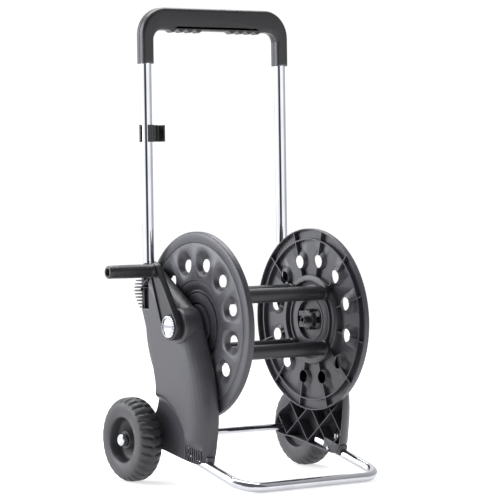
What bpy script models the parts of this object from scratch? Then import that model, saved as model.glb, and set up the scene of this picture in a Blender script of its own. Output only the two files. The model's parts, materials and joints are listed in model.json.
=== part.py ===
"""Garden hose reel cart: a steel bow and foot tube carry two moulded side panels.

An open hose reel turns between the panels by a crank, and two wheels run on an axle tube.
All sizes are in metres. X runs along the reel axis with the crank on the -X side, Y runs
to the back and Z up. The origin is on the ground, under the middle of the whole cart.
"""
import math

import bmesh
import bpy
from mathutils import Matrix, Vector

# ---------------------------------------------------------------- driving dimensions
GAP = 0.0003                    # air left between pieces that seat on each other

# reel
FLANGE_RADIUS = 0.178
REEL_WIDTH = 0.280              # over the outer faces of the two flanges
FLANGE_DEPTH = 0.012            # depth of the rim
FLANGE_WEB = 0.003
RIM_WALL = 0.0025
DISH_RADIUS = 0.0847
DISH_DEPTH = 0.014
HUB_WELL_RADIUS = 0.040
FUNNEL_COUNT = 12
FUNNEL_PITCH_RADIUS = 0.1226
FUNNEL_MOUTH_RADIUS = 0.0228
FUNNEL_THROAT_RADIUS = 0.0125
FUNNEL_THROAT_SHIFT = 0.0061    # the throats sit nearer to the hub than the mouths
FUNNEL_DEPTH = 0.0095
FUNNEL_WALL = 0.0016
FUNNEL_FIRST_ANGLE = math.radians(16.85)
BAR_RADIUS = 0.014
BAR_PITCH_RADIUS = 0.076
BAR_FIRST_ANGLE = math.radians(45.0)
BAR_PEG_RADIUS = 0.005
SHAFT_RADIUS = 0.010
WATERWAY_RADIUS = 0.0055
SPIGOT_RADIUS = 0.0075
SPIGOT_REACH = 0.027            # how far the outlet spigot stands into the drum

# frame
HUB_HEIGHT = 0.302              # reel axis above the ground
PANEL_GAP = 0.0055              # air between a flange and its side panel
PANEL_DEPTH = 0.0385            # side panel, inner edge to outer face
PANEL_WALL = 0.0026
RECESS_DEPTH = 0.0125           # how far the panel steps in behind its wheel
TUBE_RADIUS = 0.011             # handle bow
TUBE_WALL = 0.0012
BOW_SKIN = 0.0025               # panel left between the uprights and the reel
BOW_BEHIND_HUB = 0.132
BOW_TOP = 0.890                 # centre line of the top bar
BOW_BEND_RADIUS = 0.043
BOW_FOOT_ABOVE_HUB = 0.036      # where the uprights end in their housings
FOOT_TUBE_RADIUS = 0.0095
FOOT_BAR_AHEAD = 0.184          # front bar ahead of the hub axis
FOOT_EXIT_AHEAD = 0.068         # where the foot tube leaves the panel
FOOT_EXIT_HEIGHT = 0.040
FOOT_INSERTION = 0.090          # length of tube held in the panel
FOOT_BEND_RADIUS = 0.045
FOOT_HOUSING_WALL = 0.0028
HOUSING_RADIUS = 0.030          # ribbed housing round each upright
HUB_BOSS_RADIUS = 0.034         # round boss that the crank stands on
SLIVER = 0.00002                # a cut panel's triangles thinner than this are dissolved
SCREW_RADIUS = 0.0018
SCREW_HEAD_RADIUS = 0.0038
SCREW_HEAD_HEIGHT = 0.0021

# wheels
WHEEL_RADIUS = 0.081
WHEEL_WIDTH = 0.050
AXLE_BEHIND_HUB = 0.127
AXLE_RADIUS = 0.007
AXLE_WALL = 0.0015
WHEEL_CLEARANCE = 0.0065        # between the recessed panel and its wheel
WHEEL_BUSH_RADIUS = 0.013
AXLE_CAP_RADIUS = 0.0115
AXLE_CAP_PROUD = 0.003          # axle cap beyond the tyre's outer side

# crank
CRANK_LENGTH = 0.1177
CRANK_LEAN = math.radians(27.0)  # tipped back from straight up
CRANK_THICKNESS = 0.014
CRANK_HUB_RADIUS = 0.026
CRANK_TIP_RADIUS = 0.014
CRANK_CLEARANCE = 0.003         # between the panel and the arm
CRANK_CAP_RADIUS = 0.0215
CRANK_GRIP_RADIUS = 0.0128
CRANK_GRIP_LENGTH = 0.100
CRANK_PIN_RADIUS = 0.005

# grip of the bow
GRIP_TOP_HEIGHT = 0.0225        # above the tube's centre line
GRIP_BOTTOM_DROP = 0.0235       # below it
GRIP_HALF_DEPTH = 0.0145
GRIP_SLEEVE_WALL = 0.002
GRIP_SLEEVE_LENGTH = 0.087      # sleeve end below the tube's top centre line
GRIP_CORNER_RADIUS = 0.054
GRIP_INNER_RADIUS = 0.020
GRIP_EDGE_ROUND = 0.004
GRIP_SCREW_OFFSET = 0.019        # from the middle, on the smooth stretch
SCALLOP_PITCH = 0.020
SCALLOP_DEPTH = 0.0035
SCALLOPS_EACH_SIDE = 4
SCALLOP_START = 0.030           # smooth stretch each side of the middle

# lance clip on the left upright
CLIP_HEIGHT = 0.033
CLIP_CENTRE = 0.669             # above the ground
CLIP_WALL = 0.003
CLIP_JAW_RADIUS = 0.0095
CLIP_JAW_OFFSET = 0.0275        # jaw centre from the upright, towards the reel

# ---------------------------------------------------------------- worked-out dimensions
HALF_REEL = REEL_WIDTH / 2
PANEL_INNER = HALF_REEL + PANEL_GAP
PANEL_OUTER = PANEL_INNER + PANEL_DEPTH
RECESS_FACE = PANEL_OUTER - RECESS_DEPTH
HALF_BOW = PANEL_INNER + BOW_SKIN + TUBE_RADIUS
AXLE_HEIGHT = WHEEL_RADIUS
WHEEL_INNER = RECESS_FACE + WHEEL_CLEARANCE + 0.003
WHEEL_MIDDLE = WHEEL_INNER + WHEEL_WIDTH / 2
AXLE_END = WHEEL_INNER + WHEEL_WIDTH + AXLE_CAP_PROUD
ARM_INNER = PANEL_OUTER + CRANK_CLEARANCE
ARM_OUTER = ARM_INNER + CRANK_THICKNESS
GRIP_INNER_END = ARM_OUTER + GAP
CRANK_REACH = GRIP_INNER_END + CRANK_GRIP_LENGTH
FRONT_REACH = FOOT_BAR_AHEAD + FOOT_TUBE_RADIUS
BACK_REACH = AXLE_BEHIND_HUB + WHEEL_RADIUS
MIDDLE_X = (CRANK_REACH - AXLE_END) / 2
MIDDLE_Y = (FRONT_REACH - BACK_REACH) / 2
FOOT_SLOPE = math.atan2(FOOT_EXIT_HEIGHT - FOOT_TUBE_RADIUS, FOOT_BAR_AHEAD - FOOT_EXIT_AHEAD)

LARGE_ROUND = 32                # facets round a flange
ROUND = 24                      # facets round a hub-sized piece
SMALL_ROUND = 16                # facets round a small turned piece
FUNNEL_SIDES = 8

# ---------------------------------------------------------------- scene and finishes


def clear_scene():
    """Remove every object, so the model starts from nothing."""
    for old in list(bpy.data.objects):
        bpy.data.objects.remove(old, do_unlink=True)


def make_collection(name):
    collection = bpy.data.collections.new(name)
    bpy.context.scene.collection.children.link(collection)
    return collection


def make_finish(name, colour, roughness, metallic=0.0):
    """A Principled material with one colour, roughness and metallic value."""
    finish = bpy.data.materials.new(name)
    finish.use_nodes = True
    shader = finish.node_tree.nodes["Principled BSDF"]
    shader.inputs["Base Color"].default_value = (*colour, 1.0)
    shader.inputs["Roughness"].default_value = roughness
    shader.inputs["Metallic"].default_value = metallic
    return finish


clear_scene()
PARTS = make_collection("garden_hose_reel_cart")
CUTTERS = make_collection("cutters")
PANEL_PLASTIC = make_finish("panel_plastic", (0.060, 0.061, 0.066), 0.45)
BLACK_PLASTIC = make_finish("black_plastic", (0.012, 0.012, 0.013), 0.40)
TYRE_PLASTIC = make_finish("tyre_plastic", (0.030, 0.030, 0.032), 0.50)
CHROMED_STEEL = make_finish("chromed_steel", (0.80, 0.80, 0.82), 0.12, 1.0)
ZINC_STEEL = make_finish("zinc_steel", (0.62, 0.62, 0.64), 0.35, 1.0)
SEAL_RUBBER = make_finish("seal_rubber", (0.010, 0.010, 0.010), 0.70)

# ---------------------------------------------------------------- modelling helpers


def make_object(name, mesh, finish=None, parent=None, location=(0, 0, 0), rotation=(0, 0, 0)):
    """Put a mesh in the scene: a part when it has a finish, a cutter when it has none."""
    piece = bpy.data.objects.new(name, mesh)
    piece.location = location
    piece.rotation_euler = rotation
    piece.parent = parent
    if finish is None:
        CUTTERS.objects.link(piece)
        piece.hide_render = True
        piece.display_type = "WIRE"
    else:
        PARTS.objects.link(piece)
        mesh.materials.append(finish)
    return piece


def shade_round(mesh, angle=35.0):
    mesh.shade_smooth()
    mesh.set_sharp_from_angle(angle=math.radians(angle))


def mesh_from_bmesh(name, shape):
    """Turn a bmesh into a mesh whose faces point outwards."""
    bmesh.ops.recalc_face_normals(shape, faces=shape.faces)
    mesh = bpy.data.meshes.new(name)
    shape.to_mesh(mesh)
    shape.free()
    shade_round(mesh)
    return mesh


def turn_profile(name, profile, steps=SMALL_ROUND):
    """Turn a closed (radius, height) outline about Z.

    The outline runs outwards along its top, down its outer side and back along its bottom.
    """
    shape = bmesh.new()
    corners = [shape.verts.new((radius, 0.0, height)) for radius, height in profile]
    for first, second in zip(corners, corners[1:] + corners[:1]):
        shape.edges.new((first, second))
    bmesh.ops.spin(shape, geom=shape.verts[:] + shape.edges[:], cent=(0, 0, 0), axis=(0, 0, 1),
                   angle=math.tau, steps=steps, use_merge=True)
    bmesh.ops.remove_doubles(shape, verts=shape.verts, dist=0.00001)
    return mesh_from_bmesh(name, shape)


def loft_rings(name, rings):
    """Skin a stack of rings that have the same number of points, and close both ends."""
    shape = bmesh.new()
    loops = [[shape.verts.new(point) for point in ring] for ring in rings]
    for lower, upper in zip(loops, loops[1:]):
        for index in range(len(lower)):
            following = (index + 1) % len(lower)
            shape.faces.new((lower[index], lower[following], upper[following], upper[index]))
    shape.faces.new(loops[0])
    shape.faces.new(loops[-1])
    return mesh_from_bmesh(name, shape)


def inset_ring(points, distance):
    """Move a closed outline, listed anticlockwise, inwards by a small distance."""
    moved = []
    for index, here in enumerate(points):
        before = (here - points[index - 1]).normalized()
        after = (points[(index + 1) % len(points)] - here).normalized()
        left_before = Vector((-before.y, before.x))
        left_after = Vector((-after.y, after.x))
        mitre = (left_before + left_after).normalized()
        moved.append(here + mitre * distance / max(0.5, mitre.dot(left_before)))
    return moved


def smooth_ring(anchors, steps=2):
    """A closed Catmull-Rom curve through the anchors."""
    ring = []
    count = len(anchors)
    for index in range(count):
        a, b, c, d = (anchors[(index + shift) % count] for shift in (-1, 0, 1, 2))
        for step in range(steps):
            t = step / steps
            ring.append(0.5 * ((2 * b) + (c - a) * t + (2 * a - 5 * b + 4 * c - d) * t * t
                               + (3 * b - a - 3 * c + d) * t * t * t))
    return ring


def arc_points(centre, radius, start, end, steps):
    """Points along an arc in a plane, its angles in degrees."""
    points = []
    for step in range(steps + 1):
        angle = math.radians(start + (end - start) * step / steps)
        points.append(Vector((centre[0] + radius * math.cos(angle),
                              centre[1] + radius * math.sin(angle))))
    return points


def box_mesh(name, low, high):
    """A box between two corners."""
    shape = bmesh.new()
    bmesh.ops.create_cube(shape, size=1.0)
    size = Vector(high) - Vector(low)
    bmesh.ops.scale(shape, vec=size, verts=shape.verts)
    bmesh.ops.translate(shape, vec=(Vector(high) + Vector(low)) / 2, verts=shape.verts)
    return mesh_from_bmesh(name, shape)


def rod_mesh(name, start, end, radius, steps=SMALL_ROUND):
    """A closed round rod between two points."""
    start, end = Vector(start), Vector(end)
    shape = bmesh.new()
    bmesh.ops.create_cone(shape, cap_ends=True, segments=steps, radius1=radius, radius2=radius,
                          depth=(end - start).length)
    turn = (end - start).to_track_quat("Z", "Y").to_matrix().to_4x4()
    bmesh.ops.transform(shape, matrix=Matrix.Translation((start + end) / 2) @ turn,
                        verts=shape.verts)
    return mesh_from_bmesh(name, shape)


def join_meshes(name, meshes):
    """Collect several closed shapes in one mesh, to cut or join them in one go."""
    shape = bmesh.new()
    for mesh in meshes:
        shape.from_mesh(mesh)
    joined = bpy.data.meshes.new(name)
    shape.to_mesh(joined)
    shape.free()
    return joined


def tube_mesh(name, path, radius, sides=6):
    """A round tube through a list of points: a curve with a bevel, its caps welded."""
    curve = bpy.data.curves.new(name, "CURVE")
    curve.dimensions = "3D"
    curve.bevel_depth = radius
    curve.bevel_resolution = sides - 2
    curve.use_fill_caps = True
    spline = curve.splines.new("POLY")
    spline.points.add(len(path) - 1)
    for point, place in zip(spline.points, path):
        point.co = (*place, 1.0)
    guide = bpy.data.objects.new(name, curve)
    CUTTERS.objects.link(guide)
    seen = guide.evaluated_get(bpy.context.evaluated_depsgraph_get())
    mesh = bpy.data.meshes.new_from_object(seen)
    bpy.data.objects.remove(guide, do_unlink=True)
    bpy.data.curves.remove(curve)
    shape = bmesh.new()
    shape.from_mesh(mesh)
    bpy.data.meshes.remove(mesh)
    bmesh.ops.remove_doubles(shape, verts=shape.verts, dist=0.00001)
    return mesh_from_bmesh(name, shape)


def cut(piece, cutter, operation="DIFFERENCE", self_crossing=False):
    """Add a Boolean to a piece."""
    modifier = piece.modifiers.new(cutter.name, "BOOLEAN")
    modifier.operation = operation
    modifier.object = cutter
    modifier.solver = "EXACT"
    modifier.use_self = self_crossing
    return modifier


def mirror_mesh(name, mesh):
    """A copy of a mesh on the other side of the cart's middle plane."""
    shape = bmesh.new()
    shape.from_mesh(mesh)
    bmesh.ops.triangulate(shape, faces=shape.faces)
    bmesh.ops.dissolve_degenerate(shape, dist=SLIVER, edges=shape.edges)
    bmesh.ops.triangulate(shape, faces=shape.faces)
    bmesh.ops.scale(shape, vec=(-1, 1, 1), verts=shape.verts)
    bmesh.ops.reverse_faces(shape, faces=shape.faces)
    mirrored = bpy.data.meshes.new(name)
    shape.to_mesh(mirrored)
    shape.free()
    shade_round(mirrored)
    return mirrored


def make_empty(name, parent, location):
    empty = bpy.data.objects.new(name, None)
    empty.empty_display_size = 0.03
    empty.location = location
    empty.parent = parent
    PARTS.objects.link(empty)
    return empty


def x_turn(side):
    """The rotation that lays a turned piece's own Z along +X or -X."""
    return (0.0, side * math.pi / 2, 0.0)


# ---------------------------------------------------------------- places
CART = make_empty("cart", None, (MIDDLE_X, MIDDLE_Y, 0.0))
REEL = make_empty("reel_axis", CART, (0.0, 0.0, HUB_HEIGHT))
INLET = make_empty("inlet_axis", CART, (0.0, 0.0, HUB_HEIGHT))
AXLE = make_empty("wheel_axis", CART, (0.0, AXLE_BEHIND_HUB, AXLE_HEIGHT))
CRANK_TIP = Vector((0.0, CRANK_LENGTH * math.sin(CRANK_LEAN), CRANK_LENGTH * math.cos(CRANK_LEAN)))
CRANK_PIN = make_empty("crank_pin_axis", REEL, CRANK_TIP)
CLIP = make_empty("clip_axis", CART, (-HALF_BOW, BOW_BEHIND_HUB, CLIP_CENTRE))

# ---------------------------------------------------------------- handle bow, foot tube, grip


def bow_path():
    """The handle bow's centre line, from the left upright's foot over to the right one."""
    straight = HALF_BOW - BOW_BEND_RADIUS
    shoulder = BOW_TOP - BOW_BEND_RADIUS
    left = arc_points((-straight, shoulder), BOW_BEND_RADIUS, 180, 90, 6)
    right = arc_points((straight, shoulder), BOW_BEND_RADIUS, 90, 0, 6)
    foot = HUB_HEIGHT + BOW_FOOT_ABOVE_HUB
    points = [Vector((-HALF_BOW, foot))] + left + right + [Vector((HALF_BOW, foot))]
    return [(point.x, BOW_BEHIND_HUB, point.y) for point in points]


def foot_path():
    """The foot tube's centre line, out of one panel, round the front and into the other."""
    straight = HALF_BOW - FOOT_BEND_RADIUS
    run = (FOOT_BAR_AHEAD - FOOT_EXIT_AHEAD) / math.cos(FOOT_SLOPE)
    corner = run - FOOT_BEND_RADIUS
    left = arc_points((-straight, corner), FOOT_BEND_RADIUS, 180, 90, 6)
    right = arc_points((straight, corner), FOOT_BEND_RADIUS, 90, 0, 6)
    points = [Vector((-HALF_BOW, -FOOT_INSERTION))] + left + right
    points.append(Vector((HALF_BOW, -FOOT_INSERTION)))
    forward = math.cos(FOOT_SLOPE)
    down = math.sin(FOOT_SLOPE)
    return [(point.x, -FOOT_EXIT_AHEAD - point.y * forward, FOOT_EXIT_HEIGHT - point.y * down)
            for point in points]


def make_hollow_tube(name, path, radius, wall, finish, screw, sides=6):
    """An open-ended bent tube with a screw hole in each end.

    A thinner and longer solid tube is cut out of a solid one.
    """
    piece = make_object(name, tube_mesh(name, path, radius, sides), finish, CART)
    start, end = Vector(path[0]), Vector(path[-1])
    before = start + (start - Vector(path[1])).normalized() * 0.01
    after = end + (end - Vector(path[-2])).normalized() * 0.01
    inside = [tuple(before)] + path[1:-1] + [tuple(after)]
    bore = make_object(name + "_bore", tube_mesh(name + "_bore", inside, radius - wall, sides),
                       None, CART)
    cut(piece, bore)
    holes = [screw_hole(side, screw) for side in (-1, 1)]
    cut(piece, make_object(name + "_holes", join_meshes(name + "_holes", holes), None, CART))
    return piece


def grip_outline():
    """The grip's outline seen from the front, anticlockwise, with its scalloped underside."""
    sleeve = TUBE_RADIUS + GRIP_SLEEVE_WALL
    outer = HALF_BOW + sleeve
    inner = HALF_BOW - sleeve
    top = BOW_TOP + GRIP_TOP_HEIGHT
    under = BOW_TOP - GRIP_BOTTOM_DROP + SCALLOP_DEPTH / 2
    end = BOW_TOP - GRIP_SLEEVE_LENGTH
    half = [Vector((inner, end)), Vector((outer, end))]
    half += arc_points((outer - GRIP_CORNER_RADIUS, top - GRIP_CORNER_RADIUS),
                       GRIP_CORNER_RADIUS, 0, 90, 6)
    half += [Vector((-point.x, point.y)) for point in reversed(half)]
    underside = arc_points((-inner + GRIP_INNER_RADIUS, under - GRIP_INNER_RADIUS),
                           GRIP_INNER_RADIUS, 180, 90, 4)
    scallops = []
    reach = SCALLOP_START + SCALLOP_PITCH * SCALLOPS_EACH_SIDE
    per_scallop = 4
    for step in range(SCALLOPS_EACH_SIDE * per_scallop + 1):
        x = -reach + step * SCALLOP_PITCH / per_scallop
        wave = math.cos(math.tau * step / per_scallop)
        scallops.append(Vector((x, under - SCALLOP_DEPTH / 2 * (1 - wave))))
    underside += scallops
    underside += [Vector((-point.x, point.y)) for point in reversed(underside)]
    return half + underside


def make_grip():
    """Two moulded shells round the bow's top, joined by two screws from behind."""
    outline = grip_outline()
    channel = make_object("grip_channel", tube_mesh("grip_channel", bow_path(), TUBE_RADIUS + GAP),
                          None, CART)
    height = BOW_TOP - (TUBE_RADIUS + GRIP_BOTTOM_DROP) / 2
    seat = GRIP_HALF_DEPTH - 0.004
    length = 0.016
    profile = [(0.0, SCREW_HEAD_HEIGHT), (SCREW_HEAD_RADIUS - 0.0008, SCREW_HEAD_HEIGHT),
               (SCREW_HEAD_RADIUS, 0.0), (SCREW_RADIUS, 0.0), (SCREW_RADIUS, -length),
               (0.0, -length)]
    clear, bottom = SCREW_RADIUS + GAP, -length - 0.001
    sink = [(0.0, 0.02), (SCREW_HEAD_RADIUS + GAP, 0.02), (SCREW_HEAD_RADIUS + GAP, -GAP),
            (clear, -GAP), (clear, bottom), (0.0, bottom)]
    holes = []
    for name, x in (("left", -GRIP_SCREW_OFFSET), ("right", GRIP_SCREW_OFFSET)):
        place = (x, BOW_BEHIND_HUB + seat, height)
        title = "grip_screw_" + name
        turn = (-math.pi / 2, 0, 0)
        make_object(title, turn_profile(title, profile, 12), ZINC_STEEL, CART, place, turn)
        holes.append(make_object(title + "_hole", turn_profile(title + "_hole", sink, 12), None,
                                 CART, place, turn))
    for name, facing in (("grip_front_shell", -1), ("grip_rear_shell", 1)):
        rings = []
        for turn in (None, 0.0, 45.0, 90.0):
            if turn is None:
                ring, depth = outline, GAP / 2
            else:
                angle = math.radians(turn)
                ring = inset_ring(outline, GRIP_EDGE_ROUND * (1 - math.cos(angle)))
                depth = GRIP_HALF_DEPTH - GRIP_EDGE_ROUND * (1 - math.sin(angle))
            rings.append([(p.x, BOW_BEHIND_HUB + facing * depth, p.y) for p in ring])
        shell = make_object(name, loft_rings(name, rings), BLACK_PLASTIC, CART)
        cut(shell, channel)
        for hole in holes:
            cut(shell, hole)


# ---------------------------------------------------------------- side panels

HUB_POINT = Vector((0.0, HUB_HEIGHT))
BOW_POINT = Vector((BOW_BEHIND_HUB, HUB_HEIGHT))
AXLE_POINT = Vector((AXLE_BEHIND_HUB, AXLE_HEIGHT))
FOOT_POINT = Vector((-FOOT_EXIT_AHEAD, FOOT_EXIT_HEIGHT))

# Each row is a point of the panel's edge and the matching point of its flat outer face,
# both measured back and up from the piece they belong to.
PANEL_SHAPE = (
    (BOW_POINT, (-0.008, 0.118), (-0.016, 0.103)),
    (HUB_POINT, (0.075, 0.087), (0.084, 0.060)),
    (HUB_POINT, (0.007, 0.043), (0.042, 0.010)),
    (HUB_POINT, (-0.026, 0.018), (0.020, -0.012)),
    (HUB_POINT, (-0.050, -0.034), (0.001, -0.056)),
    (HUB_POINT, (-0.074, -0.102), (-0.018, -0.114)),
    (HUB_POINT, (-0.082, -0.164), (-0.028, -0.166)),
    (FOOT_POINT, (-0.0075, 0.047), (0.038, 0.052)),
    (FOOT_POINT, (0.004, 0.012), (0.034, 0.024)),
    (FOOT_POINT, (0.032, 0.002), (0.046, 0.014)),
    (FOOT_POINT, (0.145, 0.021), (0.145, 0.031)),
    (AXLE_POINT, (0.012, -0.014), (0.006, -0.006)),
    (AXLE_POINT, (0.020, 0.004), (0.012, 0.004)),
    (AXLE_POINT, (0.006, 0.030), (-0.002, 0.022)),
    (AXLE_POINT, (-0.032, 0.056), (-0.040, 0.052)),
    (HUB_POINT, (0.084, -0.122), (0.075, -0.122)),
    (HUB_POINT, (0.092, -0.082), (0.082, -0.082)),
    (HUB_POINT, (0.112, -0.016), (0.102, -0.014)),
    (BOW_POINT, (0.004, 0.034), (-0.012, 0.038)),
    (BOW_POINT, (0.012, 0.070), (-0.006, 0.070)),
    (BOW_POINT, (0.004, 0.112), (-0.008, 0.099)),
)
# The step behind the wheel: its upper and front edge, then round outside the panel.
RECESS_EDGE = (
    (AXLE_POINT, (0.003, WHEEL_RADIUS + 0.014)),
    (AXLE_POINT, (-0.077, WHEEL_RADIUS - 0.002)),
    (AXLE_POINT, (-0.112, WHEEL_RADIUS - 0.024)),
    (FOOT_POINT, (0.058, 0.068)),
    (FOOT_POINT, (0.050, 0.044)),
    (FOOT_POINT, (-0.030, 0.040)),
    (FOOT_POINT, (-0.030, -0.040)),
    (AXLE_POINT, (0.060, -0.080)),
    (AXLE_POINT, (0.060, 0.050)),
)


def panel_rings():
    """The panel's edge and its outer face outline, both anticlockwise seen from outside."""
    edge = smooth_ring([anchor + Vector(place) for anchor, place, _ in PANEL_SHAPE])
    crest = smooth_ring([anchor + Vector(place) for anchor, _, place in PANEL_SHAPE])
    return edge, crest


def panel_loft(name, offset, inner, outer):
    """The crowned body of a panel, all its walls moved inwards by an offset."""
    edge, crest = panel_rings()
    edge = inset_ring(edge, offset)
    crest = inset_ring(crest, offset)
    steps = (0.0, 30.0, 60.0, 90.0)
    foot = PANEL_INNER + 0.004
    rings = [[(inner, p.x, p.y) for p in edge]]
    for step in steps:
        angle = math.radians(step)
        blend = 1 - math.cos(angle)
        height = foot + (outer - foot) * math.sin(angle)
        rings.append([(height, a.x + (b.x - a.x) * blend, a.y + (b.y - a.y) * blend)
                      for a, b in zip(edge, crest)])
    return loft_rings(name, rings)


def recess_block(name, offset, face):
    """A block that fills the space behind the wheel, from a face outwards."""
    edge = [anchor + Vector(place) for anchor, place in RECESS_EDGE]
    outline = inset_ring(edge, -offset)
    rings = [[(height, p.x, p.y) for p in outline] for height in (face, PANEL_OUTER + 0.02)]
    return loft_rings(name, rings)


def housing_profile():
    """The barrel round the end of an upright, widest near its middle."""
    foot = HUB_HEIGHT + BOW_FOOT_ABOVE_HUB
    slimmest = TUBE_RADIUS + 0.0022
    shape = ((0.076, 0.56), (0.064, 0.74), (0.048, 0.91), (0.030, 1.0), (0.011, 0.84),
             (-0.004, 0.66), (-0.014, 0.40))
    sides = [(max(slimmest, HOUSING_RADIUS * share), foot + height) for height, share in shape]
    return [(0.0, sides[0][1])] + sides + [(0.0, sides[-1][1])]


def housing_slots():
    """Flat slots that leave ribs in the barrel round an upright."""
    meshes = []
    count, pitch, height = 9, 0.0074, 0.0048
    for index in range(count):
        top = HUB_HEIGHT + 0.100 - index * pitch
        low_y = BOW_BEHIND_HUB + 0.004
        meshes.append(box_mesh("slot", (HALF_BOW + TUBE_RADIUS + 0.002, low_y, top - height),
                               (HALF_BOW + 0.05, low_y + 0.05, top)))
    return meshes


def foot_slots():
    """Upright slots that leave ribs in the outer wall beside the foot tube."""
    meshes = []
    count, pitch, width = 7, 0.0078, 0.0045
    for index in range(count):
        start = -FOOT_EXIT_AHEAD + 0.008 + index * pitch
        meshes.append(box_mesh("slot", (HALF_BOW + FOOT_TUBE_RADIUS + 0.0015, start,
                                        FOOT_EXIT_HEIGHT + 0.012),
                               (PANEL_OUTER + 0.01, start + width, FOOT_EXIT_HEIGHT + 0.038)))
    return meshes


def panel_bosses():
    """What stands inside a panel: the hub boss, the axle boss and the foot tube's housing."""
    hub = rod_mesh("panel_hub_boss", (PANEL_INNER + 0.001, 0, HUB_HEIGHT),
                   (PANEL_OUTER - 0.001, 0, HUB_HEIGHT), HUB_BOSS_RADIUS, ROUND)
    axle = rod_mesh("panel_axle_boss", (PANEL_INNER + 0.001, AXLE_BEHIND_HUB, AXLE_HEIGHT),
                    (RECESS_FACE + 0.0015, AXLE_BEHIND_HUB, AXLE_HEIGHT), AXLE_RADIUS + 0.006)
    return [make_object("panel_hub_boss", hub, None, CART),
            make_object("panel_axle_boss", axle, None, CART),
            make_object("panel_foot_housing", foot_housing(), None, CART)]


def hub_pocket(sleeve):
    """The ring-shaped space in the hub boss, open towards the reel, round a sleeve."""
    outer = HUB_BOSS_RADIUS - PANEL_WALL
    top, bottom = PANEL_OUTER - 0.001 - PANEL_WALL, PANEL_INNER - 0.01
    profile = [(sleeve, top), (outer, top), (outer, bottom), (sleeve, bottom)]
    return make_object("hub_pocket", turn_profile("hub_pocket", profile, ROUND), None, CART,
                       (0.0, 0.0, HUB_HEIGHT), x_turn(1))


def foot_housing():
    """A box round the foot tube where it leaves the panel, cut square to the tube."""
    width = FOOT_TUBE_RADIUS + FOOT_HOUSING_WALL
    shape = bmesh.new()
    bmesh.ops.create_cube(shape, size=1.0)
    bmesh.ops.scale(shape, vec=(2 * width, 0.070, 0.030), verts=shape.verts)
    bmesh.ops.translate(shape, vec=(0, 0.022, 0.0125), verts=shape.verts)
    bmesh.ops.rotate(shape, matrix=Matrix.Rotation(FOOT_SLOPE, 3, "X"), verts=shape.verts)
    bmesh.ops.translate(shape, vec=(HALF_BOW, -FOOT_EXIT_AHEAD, FOOT_EXIT_HEIGHT),
                        verts=shape.verts)
    return mesh_from_bmesh("foot_housing", shape)


def tube_screw_places():
    """Where a screw through the panel's inner side holds the upright and the foot tube.

    Each is the screw's height and depth on the panel and the surface that its head sits on.
    """
    bow = (BOW_BEHIND_HUB, HUB_HEIGHT + BOW_FOOT_ABOVE_HUB + 0.020, PANEL_INNER)
    back = 0.040
    foot = (back * math.cos(FOOT_SLOPE) - FOOT_EXIT_AHEAD,
            FOOT_EXIT_HEIGHT + back * math.sin(FOOT_SLOPE),
            HALF_BOW - FOOT_TUBE_RADIUS - FOOT_HOUSING_WALL)
    return bow, foot


def screw_hole(side, place):
    """The hole that a tube screw passes through."""
    y, z, seat = place
    return rod_mesh("bore", (side * (seat - 0.01), y, z), (side * (seat + 0.009), y, z),
                    SCREW_RADIUS + GAP, 12)


def make_tube_screws():
    """Pan-headed screws that hold the tubes in the panels, driven from the reel's side."""
    profile = [(0.0, SCREW_HEAD_HEIGHT), (SCREW_HEAD_RADIUS - 0.0008, SCREW_HEAD_HEIGHT),
               (SCREW_HEAD_RADIUS, 0.0008), (SCREW_HEAD_RADIUS, GAP), (SCREW_RADIUS, GAP),
               (SCREW_RADIUS, -0.007), (0.0, -0.007)]
    for name, side in (("left", -1), ("right", 1)):
        for kind, (y, z, seat) in zip(("bow_screw_", "foot_screw_"), tube_screw_places()):
            make_object(kind + name, turn_profile(kind + name, profile, 12), ZINC_STEEL, CART,
                        (side * seat, y, z), x_turn(-side))


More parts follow.
